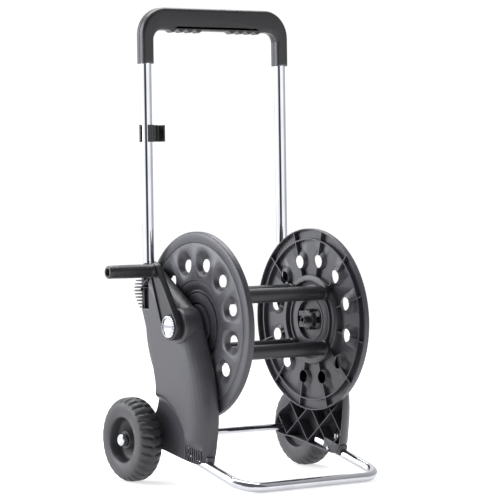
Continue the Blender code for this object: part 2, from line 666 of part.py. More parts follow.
def make_right_panel():
    """The right-hand panel: a crowned tray with sleeves, a hub boss and two ribbed housings."""
    panel = make_object("right_side_panel", panel_loft("right_side_panel", 0.0, PANEL_INNER,
                                                       PANEL_OUTER), PANEL_PLASTIC, CART)
    recess = make_object("panel_recess", recess_block("panel_recess", 0.0, RECESS_FACE), None, CART)
    cut(panel, recess)
    cavity = make_object("panel_cavity", panel_loft("panel_cavity", PANEL_WALL, PANEL_INNER - 0.01,
                                                    PANEL_OUTER - PANEL_WALL), None, CART)
    step = make_object("cavity_recess", recess_block("cavity_recess", PANEL_WALL,
                                                     RECESS_FACE - PANEL_WALL), None, CART)
    cut(cavity, step)
    cut(panel, cavity)
    barrel = make_object("panel_barrel", turn_profile("panel_barrel", housing_profile(), SMALL_ROUND),
                         None, CART, (HALF_BOW, BOW_BEHIND_HUB, 0.0))
    trim = make_object("barrel_trim", box_mesh("barrel_trim", (0, 0, HUB_HEIGHT - 0.2),
                                               (PANEL_INNER, 0.3, HUB_HEIGHT + 0.2)), None, CART)
    cut(barrel, trim)
    cut(panel, barrel, "UNION")
    for boss in panel_bosses():
        cut(panel, boss, "UNION")
    cut(panel, hub_pocket(SHAFT_RADIUS + 0.010))
    slots = make_object("panel_slots", join_meshes("panel_slots", housing_slots() + foot_slots()),
                        None, CART)
    cut(panel, slots)
    bores = [
        rod_mesh("bore", (PANEL_INNER - 0.01, 0, HUB_HEIGHT), (PANEL_OUTER + 0.01, 0, HUB_HEIGHT),
                 SHAFT_RADIUS + 0.003 + GAP, ROUND),
        rod_mesh("bore", (PANEL_INNER - 0.01, AXLE_BEHIND_HUB, AXLE_HEIGHT),
                 (PANEL_OUTER + 0.01, AXLE_BEHIND_HUB, AXLE_HEIGHT), AXLE_RADIUS + GAP),
        rod_mesh("bore", (HALF_BOW, BOW_BEHIND_HUB, HUB_HEIGHT + 0.15),
                 (HALF_BOW, BOW_BEHIND_HUB, HUB_HEIGHT + BOW_FOOT_ABOVE_HUB - GAP),
                 TUBE_RADIUS + GAP),
    ]
    bores += [screw_hole(1, place) for place in tube_screw_places()]
    cut(panel, make_object("panel_bores", join_meshes("panel_bores", bores), None, CART))
    way = [Vector(point) for point in foot_path()[-2:]]
    along = (way[1] - way[0]).normalized()
    channel = rod_mesh("foot_channel", way[0], way[1] + along * GAP, FOOT_TUBE_RADIUS + GAP)
    cut(panel, make_object("foot_channel", channel, None, CART))
    return panel


def make_left_panel(right_panel):
    """The left-hand panel mirrors the finished right-hand one."""
    depsgraph = bpy.context.evaluated_depsgraph_get()
    finished = bpy.data.meshes.new_from_object(right_panel.evaluated_get(depsgraph))
    mesh = mirror_mesh("left_side_panel", finished)
    bpy.data.meshes.remove(finished)
    mesh.materials.clear()
    return make_object("left_side_panel", mesh, PANEL_PLASTIC, CART)


def make_frame():
    """The standing frame: tubes, grip, panels, axle and hub bushes."""
    bow_screw, foot_screw = tube_screw_places()
    make_hollow_tube("handle_bow_tube", bow_path(), TUBE_RADIUS, TUBE_WALL, CHROMED_STEEL,
                     bow_screw)
    make_hollow_tube("foot_tube", foot_path(), FOOT_TUBE_RADIUS, TUBE_WALL, CHROMED_STEEL,
                     foot_screw)
    make_tube_screws()
    make_grip()
    make_left_panel(make_right_panel())
    axle = [(AXLE_RADIUS - AXLE_WALL, AXLE_END - 0.004), (AXLE_RADIUS, AXLE_END - 0.004),
            (AXLE_RADIUS, 0.004 - AXLE_END), (AXLE_RADIUS - AXLE_WALL, 0.004 - AXLE_END)]
    make_object("axle_tube", turn_profile("axle_tube", axle), CHROMED_STEEL, AXLE,
                rotation=x_turn(1))
    for name, side in (("left", -1), ("right", 1)):
        make_hub_bush(name, side)
        make_axle_fittings(name, side)


def make_hub_bush(name, side):
    """A flanged plastic bush that carries the reel's shaft in a panel."""
    bore = SHAFT_RADIUS + GAP
    outer = SHAFT_RADIUS + 0.003
    shoulder = outer + 0.004
    length = PANEL_DEPTH
    profile = [(bore, length), (outer, length), (outer, -GAP), (shoulder, -GAP),
               (shoulder, -0.0023), (bore, -0.0023)]
    mesh = turn_profile("hub_bush_" + name, profile, SMALL_ROUND)
    make_object("hub_bush_" + name, mesh, BLACK_PLASTIC, REEL, (side * PANEL_INNER, 0, 0),
                x_turn(side))


def make_axle_fittings(name, side):
    """A spacer between panel and wheel, and the bright push-on cap on the axle's end."""
    bore = AXLE_RADIUS + GAP
    spacer = [(bore, WHEEL_INNER - GAP), (0.012, WHEEL_INNER - GAP),
              (0.012, RECESS_FACE + 0.0018), (bore, RECESS_FACE + 0.0018)]
    make_object("axle_spacer_" + name, turn_profile("axle_spacer_" + name, spacer),
                BLACK_PLASTIC, AXLE, rotation=x_turn(side))
    back = AXLE_END - 0.009
    cap = [(0.0, AXLE_END), (AXLE_CAP_RADIUS - 0.003, AXLE_END),
           (AXLE_CAP_RADIUS, AXLE_END - 0.0025), (AXLE_CAP_RADIUS, back),
           (bore, back), (bore, AXLE_END - 0.0035), (0.0, AXLE_END - 0.0035)]
    make_object("axle_cap_" + name, turn_profile("axle_cap_" + name, cap),
                ZINC_STEEL, AXLE, rotation=x_turn(side))


# ---------------------------------------------------------------- wheels


def wheel_profile():
    """A blown plastic wheel: round tread, dished outer side, hub and hollow back."""
    half = WHEEL_WIDTH / 2
    hub = WHEEL_BUSH_RADIUS + GAP
    front = WHEEL_WIDTH - 0.006
    rim = WHEEL_RADIUS * 0.54
    outer = [(hub, front - 0.003), (hub + 0.005, front - 0.003), (rim - 0.010, half - 0.004),
             (rim - 0.002, half + 0.004), (rim, WHEEL_WIDTH - 0.001)]
    shoulder = 0.018
    straight = WHEEL_RADIUS - shoulder
    for step in range(4):
        angle = math.radians(90 - 30 * step)
        outer.append((straight + shoulder * math.cos(angle),
                      WHEEL_WIDTH - shoulder + shoulder * math.sin(angle)))
    back = []
    for step in range(4):
        angle = math.radians(-30 * step)
        back.append((straight + shoulder * math.cos(angle), shoulder + shoulder * math.sin(angle)))
    inner = [(rim, 0.001), (rim - 0.002, half - 0.010), (hub + 0.006, half - 0.010),
             (hub + 0.004, 0.0), (hub, 0.0)]
    return outer + back + inner


def make_wheel(name, side):
    mesh = turn_profile("wheel_" + name, wheel_profile(), 28)
    make_object("wheel_" + name, mesh, TYRE_PLASTIC, AXLE, (side * WHEEL_INNER, 0, 0), x_turn(side))
    bore = AXLE_RADIUS + GAP
    length = WHEEL_WIDTH - 0.0065
    bush = [(bore, length), (WHEEL_BUSH_RADIUS, length), (WHEEL_BUSH_RADIUS, 0.0), (bore, 0.0)]
    make_object("wheel_bush_" + name, turn_profile("wheel_bush_" + name, bush),
                BLACK_PLASTIC, AXLE, (side * WHEEL_INNER, 0, 0), x_turn(side))


# ---------------------------------------------------------------- reel


def flange_profile():
    """The turned part of a flange; its outer face is at height 0, the drum is below."""
    bore = SHAFT_RADIUS + GAP
    plate = 0.001
    well = HUB_WELL_RADIUS
    return [(bore, -plate), (well, -plate), (well + 0.001, FLANGE_WEB - DISH_DEPTH),
            (DISH_RADIUS - 0.005, FLANGE_WEB - DISH_DEPTH), (DISH_RADIUS, 0.0),
            (FLANGE_RADIUS - 0.004, 0.0), (FLANGE_RADIUS, -0.0024),
            (FLANGE_RADIUS, -FLANGE_DEPTH), (FLANGE_RADIUS - RIM_WALL, -FLANGE_DEPTH),
            (FLANGE_RADIUS - RIM_WALL, -FLANGE_WEB), (DISH_RADIUS + RIM_WALL, -FLANGE_WEB),
            (DISH_RADIUS + RIM_WALL, -DISH_DEPTH), (well - RIM_WALL, -DISH_DEPTH),
            (well - RIM_WALL, -plate - FLANGE_WEB), (bore, -plate - FLANGE_WEB)]


def place_round(side, angle, radius):
    """A place on a flange, by its angle from straight ahead upwards, in the flange's own axes."""
    back = -radius * math.cos(angle)
    up = radius * math.sin(angle)
    return Vector((-side * up, back, 0.0))


def funnel_mesh(side, angle, grow, top, bottom):
    """A leaning cone from a funnel's mouth to its throat, made larger by a wall."""
    def section(height):
        share = -height / FUNNEL_DEPTH
        radius = FUNNEL_MOUTH_RADIUS + (FUNNEL_THROAT_RADIUS - FUNNEL_MOUTH_RADIUS) * share
        centre = place_round(side, angle, FUNNEL_PITCH_RADIUS - FUNNEL_THROAT_SHIFT * share)
        return [(centre.x + (radius + grow) * math.cos(math.tau * step / FUNNEL_SIDES),
                 centre.y + (radius + grow) * math.sin(math.tau * step / FUNNEL_SIDES), height)
                for step in range(FUNNEL_SIDES)]
    return loft_rings("funnel", [section(top), section(bottom)])


def make_flange(name, side):
    """A reel flange with funnels and peg holes."""
    title = "reel_flange_" + name
    turn = x_turn(side)
    place = (side * HALF_REEL, 0, 0)
    flange = make_object(title, turn_profile(title, flange_profile(), LARGE_ROUND), PANEL_PLASTIC, REEL,
                         place, turn)
    angles = [FUNNEL_FIRST_ANGLE + math.tau * k / FUNNEL_COUNT for k in range(FUNNEL_COUNT)]
    walls = [funnel_mesh(side, angle, FUNNEL_WALL, -FLANGE_WEB * 0.4, -FUNNEL_DEPTH)
             for angle in angles]
    cut(flange, make_object(title + "_walls", join_meshes(title + "_walls", walls), None, REEL,
                            place, turn), "UNION")
    holes = [funnel_mesh(side, angle, 0.0, 0.002, -FUNNEL_DEPTH - 0.004) for angle in angles]
    for index in range(4):
        at = place_round(side, BAR_FIRST_ANGLE + index * math.pi / 2, BAR_PITCH_RADIUS)
        holes.append(rod_mesh("peg_hole", (at.x, at.y, -DISH_DEPTH - 0.01),
                              (at.x, at.y, 0.01), BAR_PEG_RADIUS + GAP, 12))
    cut(flange, make_object(title + "_holes", join_meshes(title + "_holes", holes), None, REEL,
                            place, turn))
    return flange


def make_drum_bar(index):
    """One of the four bars that the hose winds on, with a peg at each end."""
    half = HALF_REEL - DISH_DEPTH - GAP
    tip = half + FLANGE_WEB
    profile = [(0.0, tip), (BAR_PEG_RADIUS, tip), (BAR_PEG_RADIUS, half), (BAR_RADIUS, half),
               (BAR_RADIUS, -half), (BAR_PEG_RADIUS, -half), (BAR_PEG_RADIUS, -tip), (0.0, -tip)]
    title = "drum_bar_%d" % (index + 1)
    angle = BAR_FIRST_ANGLE + index * math.pi / 2
    place = (0.0, -BAR_PITCH_RADIUS * math.cos(angle), BAR_PITCH_RADIUS * math.sin(angle))
    make_object(title, turn_profile(title, profile), BLACK_PLASTIC, REEL, place, x_turn(1))


def make_crank_shaft():
    """The driving shaft: a collar on the flange's well, then out through the panel."""
    inner = -(0.001 + FLANGE_WEB + GAP)
    end = ARM_OUTER - HALF_REEL - 0.006
    seat = CRANK_CAP_RADIUS * 0.35
    profile = [(0.0, end + 0.003), (seat, end + 0.003), (seat, end), (SHAFT_RADIUS, end),
               (SHAFT_RADIUS, inner), (0.018, inner), (0.018, inner - 0.006), (0.0, inner - 0.006)]
    make_object("crank_shaft", turn_profile("crank_shaft", profile), BLACK_PLASTIC, REEL,
                (-HALF_REEL, 0, 0), x_turn(-1))


def arm_outline(grow=0.0):
    """The crank arm's outline in its own plane: two round ends and straight sides."""
    lean = math.degrees(math.acos((CRANK_HUB_RADIUS - CRANK_TIP_RADIUS) / CRANK_LENGTH))
    points = arc_points((0.0, 0.0), CRANK_HUB_RADIUS + grow, lean, 360 - lean, 18)
    points += arc_points((CRANK_LENGTH, 0.0), CRANK_TIP_RADIUS + grow, -lean, lean, 10)
    return points


def make_crank_arm():
    """The crank arm: a dished lever with a raised edge and a seat for its cap."""
    face = ARM_OUTER
    edge = 0.0015
    def ring(grow, out):
        turn = Matrix.Rotation(math.pi / 2 - CRANK_LEAN, 2)
        return [(-out, *(turn @ point)) for point in arm_outline(grow)]
    body = [ring(-edge, ARM_INNER), ring(0.0, ARM_INNER + edge), ring(0.0, face - edge),
            ring(-edge, face)]
    arm = make_object("crank_arm", loft_rings("crank_arm", body), BLACK_PLASTIC, REEL)
    dish = make_object("crank_arm_dish", loft_rings("crank_arm_dish", [
        ring(-0.0035, face + 0.005), ring(-0.0035, face - 0.0025)]), None, REEL)
    cut(arm, dish)
    seat = CRANK_CAP_RADIUS * 0.35
    bores = [
        rod_mesh("bore", (-ARM_INNER + 0.01, 0, 0), (-ARM_OUTER + 0.006 - GAP, 0, 0),
                 SHAFT_RADIUS + GAP),
        rod_mesh("bore", (-ARM_OUTER + 0.009, 0, 0), (-ARM_OUTER - 0.01, 0, 0), seat + GAP),
        rod_mesh("bore", (-ARM_INNER + 0.01, *CRANK_TIP.yz), (-ARM_OUTER - 0.01, *CRANK_TIP.yz),
                 CRANK_PIN_RADIUS + GAP),
    ]
    for index, mesh in enumerate(bores):
        cut(arm, make_object("crank_bore_%d" % index, mesh, None, REEL))


def make_crank_cap():
    """The bright serrated cap over the crank's fixing screw."""
    back = ARM_OUTER - 0.0025 + GAP
    top = ARM_OUTER + 0.0035
    teeth = 24
    shape_rings = []
    for height, shrink in ((back, 0.0), (top - 0.001, 0.0), (top, 0.0012)):
        ring = []
        for step in range(teeth * 2):
            radius = CRANK_CAP_RADIUS - shrink - (0.0012 if step % 2 else 0.0)
            angle = math.tau * step / (teeth * 2)
            ring.append((-height, radius * math.cos(angle), radius * math.sin(angle)))
        shape_rings.append(ring)
    make_object("crank_cap", loft_rings("crank_cap", shape_rings), CHROMED_STEEL, REEL)


def make_crank_grip():
    """The turning handle on its steel pin."""
    head = GRIP_INNER_END - ARM_OUTER
    bore = CRANK_PIN_RADIUS + GAP
    length = CRANK_GRIP_LENGTH
    rounding = 0.003
    profile = [(bore, head + length), (CRANK_GRIP_RADIUS - rounding, head + length),
               (CRANK_GRIP_RADIUS, head + length - rounding),
               (CRANK_GRIP_RADIUS, head + 0.006), (CRANK_GRIP_RADIUS + 0.0008, head + 0.004),
               (CRANK_GRIP_RADIUS - 0.001, head), (bore, head)]
    make_object("crank_grip", turn_profile("crank_grip", profile), BLACK_PLASTIC, CRANK_PIN,
                (-ARM_OUTER, 0, 0), x_turn(-1))
    pin = [(0.0, head + length - 0.003), (CRANK_PIN_RADIUS, head + length - 0.003),
           (CRANK_PIN_RADIUS, 0.001 - CRANK_THICKNESS), (0.0, 0.001 - CRANK_THICKNESS)]
    make_object("crank_pin", turn_profile("crank_pin", pin), ZINC_STEEL, CRANK_PIN,
                (-ARM_OUTER, 0, 0), x_turn(-1))


def make_water_fittings():
    """Water way: inlet elbow outside, spindle through the hub, outlet spigot in the drum."""
    collar = 0.001 + FLANGE_WEB + GAP
    outer_end = PANEL_OUTER - HALF_REEL + 0.018
    neck = SHAFT_RADIUS - 0.002
    groove = outer_end - 0.009
    spindle = [(WATERWAY_RADIUS, outer_end), (SHAFT_RADIUS, outer_end),
               (SHAFT_RADIUS, groove + 0.0016), (neck, groove + 0.0016), (neck, groove - 0.0016),
               (SHAFT_RADIUS, groove - 0.0016), (SHAFT_RADIUS, -collar), (0.018, -collar),
               (0.018, -collar - 0.006), (SPIGOT_RADIUS, -collar - 0.006),
               (SPIGOT_RADIUS, -collar - 0.010), (WATERWAY_RADIUS, -collar - 0.010)]
    make_object("water_spindle", turn_profile("water_spindle", spindle), BLACK_PLASTIC, REEL,
                (HALF_REEL, 0, 0), x_turn(1))
    seal = []
    for step in range(6):
        angle = math.radians(90 - 60 * step)
        seal.append((neck + 0.0012 + 0.0009 * math.cos(angle), groove + 0.0009 * math.sin(angle)))
    make_object("inlet_seal", turn_profile("inlet_seal", seal), SEAL_RUBBER, REEL,
                (HALF_REEL, 0, 0), x_turn(1))
    start = -collar - 0.010 - GAP
    end = start - SPIGOT_REACH + 0.012
    spigot = [(WATERWAY_RADIUS - 0.001, start), (SPIGOT_RADIUS + 0.002, start),
              (SPIGOT_RADIUS + 0.002, start - 0.004), (SPIGOT_RADIUS, start - 0.004),
              (SPIGOT_RADIUS, end), (WATERWAY_RADIUS - 0.001, end)]
    make_object("hose_outlet_spigot", turn_profile("hose_outlet_spigot", spigot),
                BLACK_PLASTIC, REEL, (HALF_REEL, 0, 0), x_turn(1))
    make_inlet_elbow(HALF_REEL + outer_end)


def make_inlet_elbow(spindle_end):
    """The swivelling inlet outside the right panel, its connector hanging down."""
    start = PANEL_OUTER + 0.0025
    end = spindle_end + 0.010
    body = rod_mesh("inlet_elbow", (start, 0, 0), (end, 0, 0), SHAFT_RADIUS + 0.0045)
    elbow = make_object("inlet_elbow", body, BLACK_PLASTIC, INLET)
    drop = 0.044
    middle = end - SHAFT_RADIUS - 0.004
    profile = [(0.0, 0.0), (0.0095, 0.0), (0.0095, -0.022), (0.0075, -0.022), (0.0075, -0.026),
               (0.0085, -0.028), (0.0085, -drop + 0.001), (0.0075, -drop), (0.0, -drop)]
    branch = make_object("inlet_branch", turn_profile("inlet_branch", profile), None,
                         INLET, (middle, 0, 0))
    cut(elbow, branch, "UNION")
    socket = rod_mesh("inlet_socket", (start - 0.01, 0, 0), (spindle_end + GAP, 0, 0),
                      SHAFT_RADIUS + GAP)
    cut(elbow, make_object("inlet_socket", socket, None, INLET))
    way = rod_mesh("inlet_way", (middle, 0, -drop - 0.01), (middle, 0, 0), WATERWAY_RADIUS - 0.001)
    cut(elbow, make_object("inlet_way", way, None, INLET))


def make_reel():
    """Everything that turns with the reel, and the swivelling parts on it."""
    for name, side in (("left", -1), ("right", 1)):
        make_flange(name, side)
    for index in range(4):
        make_drum_bar(index)
    make_crank_shaft()
    make_crank_arm()
    make_crank_cap()
    make_crank_grip()
    make_water_fittings()


# ---------------------------------------------------------------- lance clip


def c_ring(inner, wall, opening_at, opening):
    """The outline of a split ring, its gap centred on one angle, all in degrees."""
    start = opening_at + opening / 2
    end = opening_at + 360 - opening / 2
    outside = arc_points((0.0, 0.0), inner + wall, start, end, 16)
    inside = arc_points((0.0, 0.0), inner, end, start, 16)
    return outside + inside


def make_clip():
    """A plastic clip that grips the left upright and holds a lance in a second jaw."""
    bottom, top = -CLIP_HEIGHT / 2, CLIP_HEIGHT / 2
    grip = c_ring(TUBE_RADIUS + GAP, CLIP_WALL, 215.0, 70.0)
    clip = make_object("tool_clip", loft_rings("tool_clip", [
        [(p.x, p.y, height) for p in grip] for height in (bottom, top)]), BLACK_PLASTIC, CLIP)
    jaw = c_ring(CLIP_JAW_RADIUS, CLIP_WALL, 270.0, 90.0)
    ring = make_object("clip_jaw", loft_rings("clip_jaw", [
        [(p.x + CLIP_JAW_OFFSET, p.y, height) for p in jaw] for height in (bottom + 0.0005, top - 0.0005)]),
        None, CLIP)
    cut(clip, ring, "UNION")
    web = make_object("clip_web", box_mesh("clip_web", (
        TUBE_RADIUS + CLIP_WALL / 2, -0.007, bottom + 0.001), (
        CLIP_JAW_OFFSET - CLIP_JAW_RADIUS - CLIP_WALL / 2, 0.007, top - 0.001)), None, CLIP)
    cut(clip, web, "UNION")


def main():
    """Build the whole cart."""
    make_frame()
    make_wheel("left", -1)
    make_wheel("right", 1)
    make_reel()
    make_clip()


main()
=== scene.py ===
"""Garden hose reel cart: fine surfaces, finishes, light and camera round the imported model.

Every sub-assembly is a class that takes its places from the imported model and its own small
sizes from its fields. Shapes are made in the cart's own axes: X along the reel, Y to the
back and Z up, measured from the ground under the middle of the reel.
"""
from __future__ import annotations

import json
import logging
import math
from dataclasses import dataclass
from enum import Enum
from typing import Any, Iterable, Optional, Sequence

import bmesh
import bpy
from mathutils import Matrix, Vector

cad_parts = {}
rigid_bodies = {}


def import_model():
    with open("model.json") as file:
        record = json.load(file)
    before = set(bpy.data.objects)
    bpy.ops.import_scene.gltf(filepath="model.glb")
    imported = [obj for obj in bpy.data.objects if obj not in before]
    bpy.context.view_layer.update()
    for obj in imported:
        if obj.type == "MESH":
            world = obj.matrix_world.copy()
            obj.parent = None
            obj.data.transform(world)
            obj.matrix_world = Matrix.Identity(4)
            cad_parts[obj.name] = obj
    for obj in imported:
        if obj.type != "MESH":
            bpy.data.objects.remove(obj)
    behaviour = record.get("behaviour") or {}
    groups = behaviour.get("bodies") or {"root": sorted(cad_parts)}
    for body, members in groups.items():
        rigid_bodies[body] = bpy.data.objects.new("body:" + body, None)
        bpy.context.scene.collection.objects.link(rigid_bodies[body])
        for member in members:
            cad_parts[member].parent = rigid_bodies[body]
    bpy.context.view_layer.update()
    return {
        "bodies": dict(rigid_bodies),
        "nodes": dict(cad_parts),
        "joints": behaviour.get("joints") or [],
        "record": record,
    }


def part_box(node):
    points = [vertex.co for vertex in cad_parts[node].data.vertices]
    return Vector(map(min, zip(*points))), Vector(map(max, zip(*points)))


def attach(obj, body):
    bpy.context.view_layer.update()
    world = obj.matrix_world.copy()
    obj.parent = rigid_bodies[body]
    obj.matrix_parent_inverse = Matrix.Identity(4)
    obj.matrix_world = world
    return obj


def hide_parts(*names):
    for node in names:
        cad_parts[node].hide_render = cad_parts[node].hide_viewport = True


LOG = logging.getLogger("hose_reel_cart")
AIR = 0.0003                        # play between pieces that slide or turn on each other
MERGE = 0.00001                     # points nearer than this are one point
Profile = Sequence[tuple[float, float]]


class Side(Enum):
    """The two sides of the cart, as the sign of X."""

    LEFT = -1
    RIGHT = 1

    @property
    def word(self) -> str:
        """The side's name as it stands in the names of pieces."""
        return self.name.lower()


class Slot(Enum):
    """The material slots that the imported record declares."""

    PANEL = "panel_plastic"
    BLACK = "black_plastic"
    WHEEL = "wheel_plastic"
    CHROME = "chromed_steel"
    ZINC = "zinc_steel"
    RUBBER = "seal_rubber"


# ---------------------------------------------------------------- finishes


def srgb(code: str) -> tuple[float, float, float, float]:
    """Turn an sRGB hex colour to linear.

    Args:
        code: The colour, such as "#2f3033".

    Returns:
        Red, green, blue and alpha.
    """
    parts = [int(code[at:at + 2], 16) / 255 for at in (1, 3, 5)]
    linear = [p / 12.92 if p <= 0.04045 else ((p + 0.055) / 1.055) ** 2.4 for p in parts]
    return (linear[0], linear[1], linear[2], 1.0)


def add_node(tree: bpy.types.NodeTree, kind: str, inputs: Optional[dict[Any, Any]] = None,
             **settings: Any) -> bpy.types.Node:
    """Add one node with its settings and links.

    Args:
        tree: The node tree.
        kind: The node's type name.
        inputs: Sockets by name or index, each with a value or an output socket.
        settings: Properties of the node itself.

    Returns:
        The new node.
    """
    node = tree.nodes.new(kind)
    for name, value in settings.items():
        setattr(node, name, value)
    for socket, value in (inputs or {}).items():
        if isinstance(value, bpy.types.NodeSocket):
            tree.links.new(value, node.inputs[socket])
        else:
            node.inputs[socket].default_value = value
    return node


@dataclass(frozen=True)
class MouldedPlastic:
    """Injection-moulded polypropylene with a spark-eroded satin grain.

    The grain scatters light, so a grazing sky turns the dark plastic pale grey. A slow
    mottling of the gloss and a faint drift of colour keep large faces from looking flat.
    """

    name: str
    dark: str
    light: str
    roughness: float
    grain_mm: float = 1.6           # the real grain is 0.3 mm, drawn coarser so that it shows
    grain_height: float = 0.00005
    mottle_mm: float = 45.0
    specular: float = 0.5
    scuff: float = 0.05

    def build(self) -> bpy.types.Material:
        """Make the node material.

        Returns:
            The material.
        """
        material, tree, shader = new_material(self.name)
        place = add_node(tree, "ShaderNodeTexCoord").outputs["Object"]
        mottle = add_node(tree, "ShaderNodeTexNoise", {
            "Vector": place, "Scale": 1000 / self.mottle_mm, "Detail": 4.0, "Roughness": 0.6})
        colour = add_node(tree, "ShaderNodeMix", {
            "Factor": mottle.outputs["Fac"], 6: srgb(self.dark), 7: srgb(self.light)},
            data_type="RGBA")
        tree.links.new(colour.outputs[2], shader.inputs["Base Color"])
        grain = add_node(tree, "ShaderNodeTexNoise", {
            "Vector": place, "Scale": 1000 / self.grain_mm, "Detail": 2.0, "Roughness": 0.7})
        gloss = add_node(tree, "ShaderNodeMapRange", {
            "Value": mottle.outputs["Fac"], "From Min": 0.3, "From Max": 0.7,
            "To Min": self.roughness - self.scuff, "To Max": self.roughness + self.scuff})
        tree.links.new(gloss.outputs["Result"], shader.inputs["Roughness"])
        bump = add_node(tree, "ShaderNodeBump", {
            "Height": grain.outputs["Fac"], "Distance": self.grain_height, "Strength": 0.6})
        tree.links.new(bump.outputs["Normal"], shader.inputs["Normal"])
        shader.inputs["Specular IOR Level"].default_value = self.specular
        return material


@dataclass(frozen=True)
class PlatedSteel:
    """Plated steel: bright chrome on the tubes, or duller zinc on small fittings.

    The tube was polished along its length before plating, which leaves faint fine lines
    and slow changes of gloss in an otherwise sharp mirror.
    """

    name: str
    dark: str
    light: str
    roughness: float
    spread: float
    patch_mm: float
    line_mm: float
    line_height: float

    def build(self) -> bpy.types.Material:
        """Make the node material.

        Returns:
            The material.
        """
        material, tree, shader = new_material(self.name)
        place = add_node(tree, "ShaderNodeTexCoord").outputs["Object"]
        patch = add_node(tree, "ShaderNodeTexNoise", {
            "Vector": place, "Scale": 1000 / self.patch_mm, "Detail": 3.0})
        gloss = add_node(tree, "ShaderNodeMapRange", {
            "Value": patch.outputs["Fac"], "From Min": 0.3, "From Max": 0.7,
            "To Min": self.roughness, "To Max": self.roughness + self.spread})
        tree.links.new(gloss.outputs["Result"], shader.inputs["Roughness"])
        lines = add_node(tree, "ShaderNodeTexNoise", {
            "Vector": place, "Scale": 1000 / self.line_mm, "Detail": 2.0})
        bump = add_node(tree, "ShaderNodeBump", {
            "Height": lines.outputs["Fac"], "Distance": self.line_height, "Strength": 0.5})
        tree.links.new(bump.outputs["Normal"], shader.inputs["Normal"])
        tint = add_node(tree, "ShaderNodeMix", {
            "Factor": patch.outputs["Fac"], 6: srgb(self.dark), 7: srgb(self.light)},
            data_type="RGBA")
        tree.links.new(tint.outputs[2], shader.inputs["Base Color"])
        shader.inputs["Metallic"].default_value = 1.0
        return material


def new_material(name: str) -> tuple[bpy.types.Material, bpy.types.NodeTree, bpy.types.Node]:
    """Make an empty node material.

    Args:
        name: The material's name.

    Returns:
        The material, its node tree and its Principled shader.
    """
    material = bpy.data.materials.new(name)
    material.use_nodes = True
    tree = material.node_tree
    return material, tree, tree.nodes["Principled BSDF"]


FINISHES = {
    Slot.PANEL: MouldedPlastic("moulded_anthracite_polypropylene", "#333338", "#3d3d43", 0.38,
                               specular=0.62),
    Slot.BLACK: MouldedPlastic("moulded_black_polypropylene", "#1d1d20", "#27272a", 0.34,
                               grain_mm=1.3, mottle_mm=30.0, specular=0.5),
    Slot.WHEEL: MouldedPlastic("blow_moulded_black_polyethylene", "#28282b", "#333337", 0.46,
                               grain_mm=2.2, grain_height=0.00008, mottle_mm=22.0,
                               specular=0.55, scuff=0.08),
    Slot.CHROME: PlatedSteel("chrome_plated_tube", "#b9bac1", "#d8d9dd", 0.025, 0.03,
                             patch_mm=60.0, line_mm=2.5, line_height=0.000004),
    Slot.ZINC: PlatedSteel("zinc_plated_steel", "#a4a5a9", "#d8d9dd", 0.22, 0.12,
                           patch_mm=12.0, line_mm=1.2, line_height=0.00003),
    Slot.RUBBER: MouldedPlastic("moulded_nitrile_rubber", "#0f0f10", "#171718", 0.62,
                                grain_mm=1.0, mottle_mm=8.0, specular=0.35),
}

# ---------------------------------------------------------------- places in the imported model


@dataclass(frozen=True)
class Layout:
    """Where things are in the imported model, in the cart's own axes."""

    origin: Vector
    hub: float
    half_reel: float
    flange_radius: float
    panel_inner: float
    half_bow: float
    bow_back: float
    bow_radius: float
    bow_top: float
    bow_foot: float
    foot_radius: float
    foot_front: float
    wheel_inner: float
    wheel_outer: float
    wheel_radius: float
    axle_back: float
    axle_end: float
    arm_inner: float
    arm_outer: float
    tip: Vector
    grip_end: float
    grip_top: float
    grip_bottom: float
    grip_half_depth: float

    @classmethod
    def read(cls) -> Layout:
        """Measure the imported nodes' boxes.

        Returns:
            The places.
        """
        left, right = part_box("reel_flange_left"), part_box("reel_flange_right")
        origin = Vector(((left[0].x + right[1].x) / 2, (left[0].y + left[1].y) / 2, 0.0))
        bow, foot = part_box("handle_bow_tube"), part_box("foot_tube")
        wheel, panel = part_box("wheel_right"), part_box("right_side_panel")
        arm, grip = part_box("crank_arm"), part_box("crank_grip")
        shell = (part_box("grip_front_shell"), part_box("grip_rear_shell"))
        bow_radius = (bow[1].y - bow[0].y) / 2
        return cls(
            origin=origin,
            hub=(left[0].z + left[1].z) / 2,
            half_reel=(right[1].x - left[0].x) / 2,
            flange_radius=(left[1].z - left[0].z) / 2,
            panel_inner=panel[0].x - origin.x,
            half_bow=(bow[1].x - bow[0].x) / 2 - bow_radius,
            bow_back=(bow[0].y + bow[1].y) / 2 - origin.y,
            bow_radius=bow_radius,
            bow_top=bow[1].z - bow_radius,
            bow_foot=bow[0].z,
            foot_radius=(foot[1].x - foot[0].x) / 2 - ((bow[1].x - bow[0].x) / 2 - bow_radius),
            foot_front=foot[0].y - origin.y,
            wheel_inner=wheel[0].x - origin.x,
            wheel_outer=wheel[1].x - origin.x,
            wheel_radius=(wheel[1].z - wheel[0].z) / 2,
            axle_back=(wheel[0].y + wheel[1].y) / 2 - origin.y,
            axle_end=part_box("axle_cap_right")[1].x - origin.x,
            arm_inner=origin.x - arm[1].x,
            arm_outer=origin.x - arm[0].x,
            tip=Vector((0.0, (grip[0].y + grip[1].y) / 2 - origin.y,
                        (grip[0].z + grip[1].z) / 2)),
            grip_end=origin.x - grip[0].x,
            grip_top=shell[0][1].z,
            grip_bottom=shell[0][0].z,
            grip_half_depth=(shell[1][1].y - shell[0][0].y) / 2,
        )


# ---------------------------------------------------------------- shaping


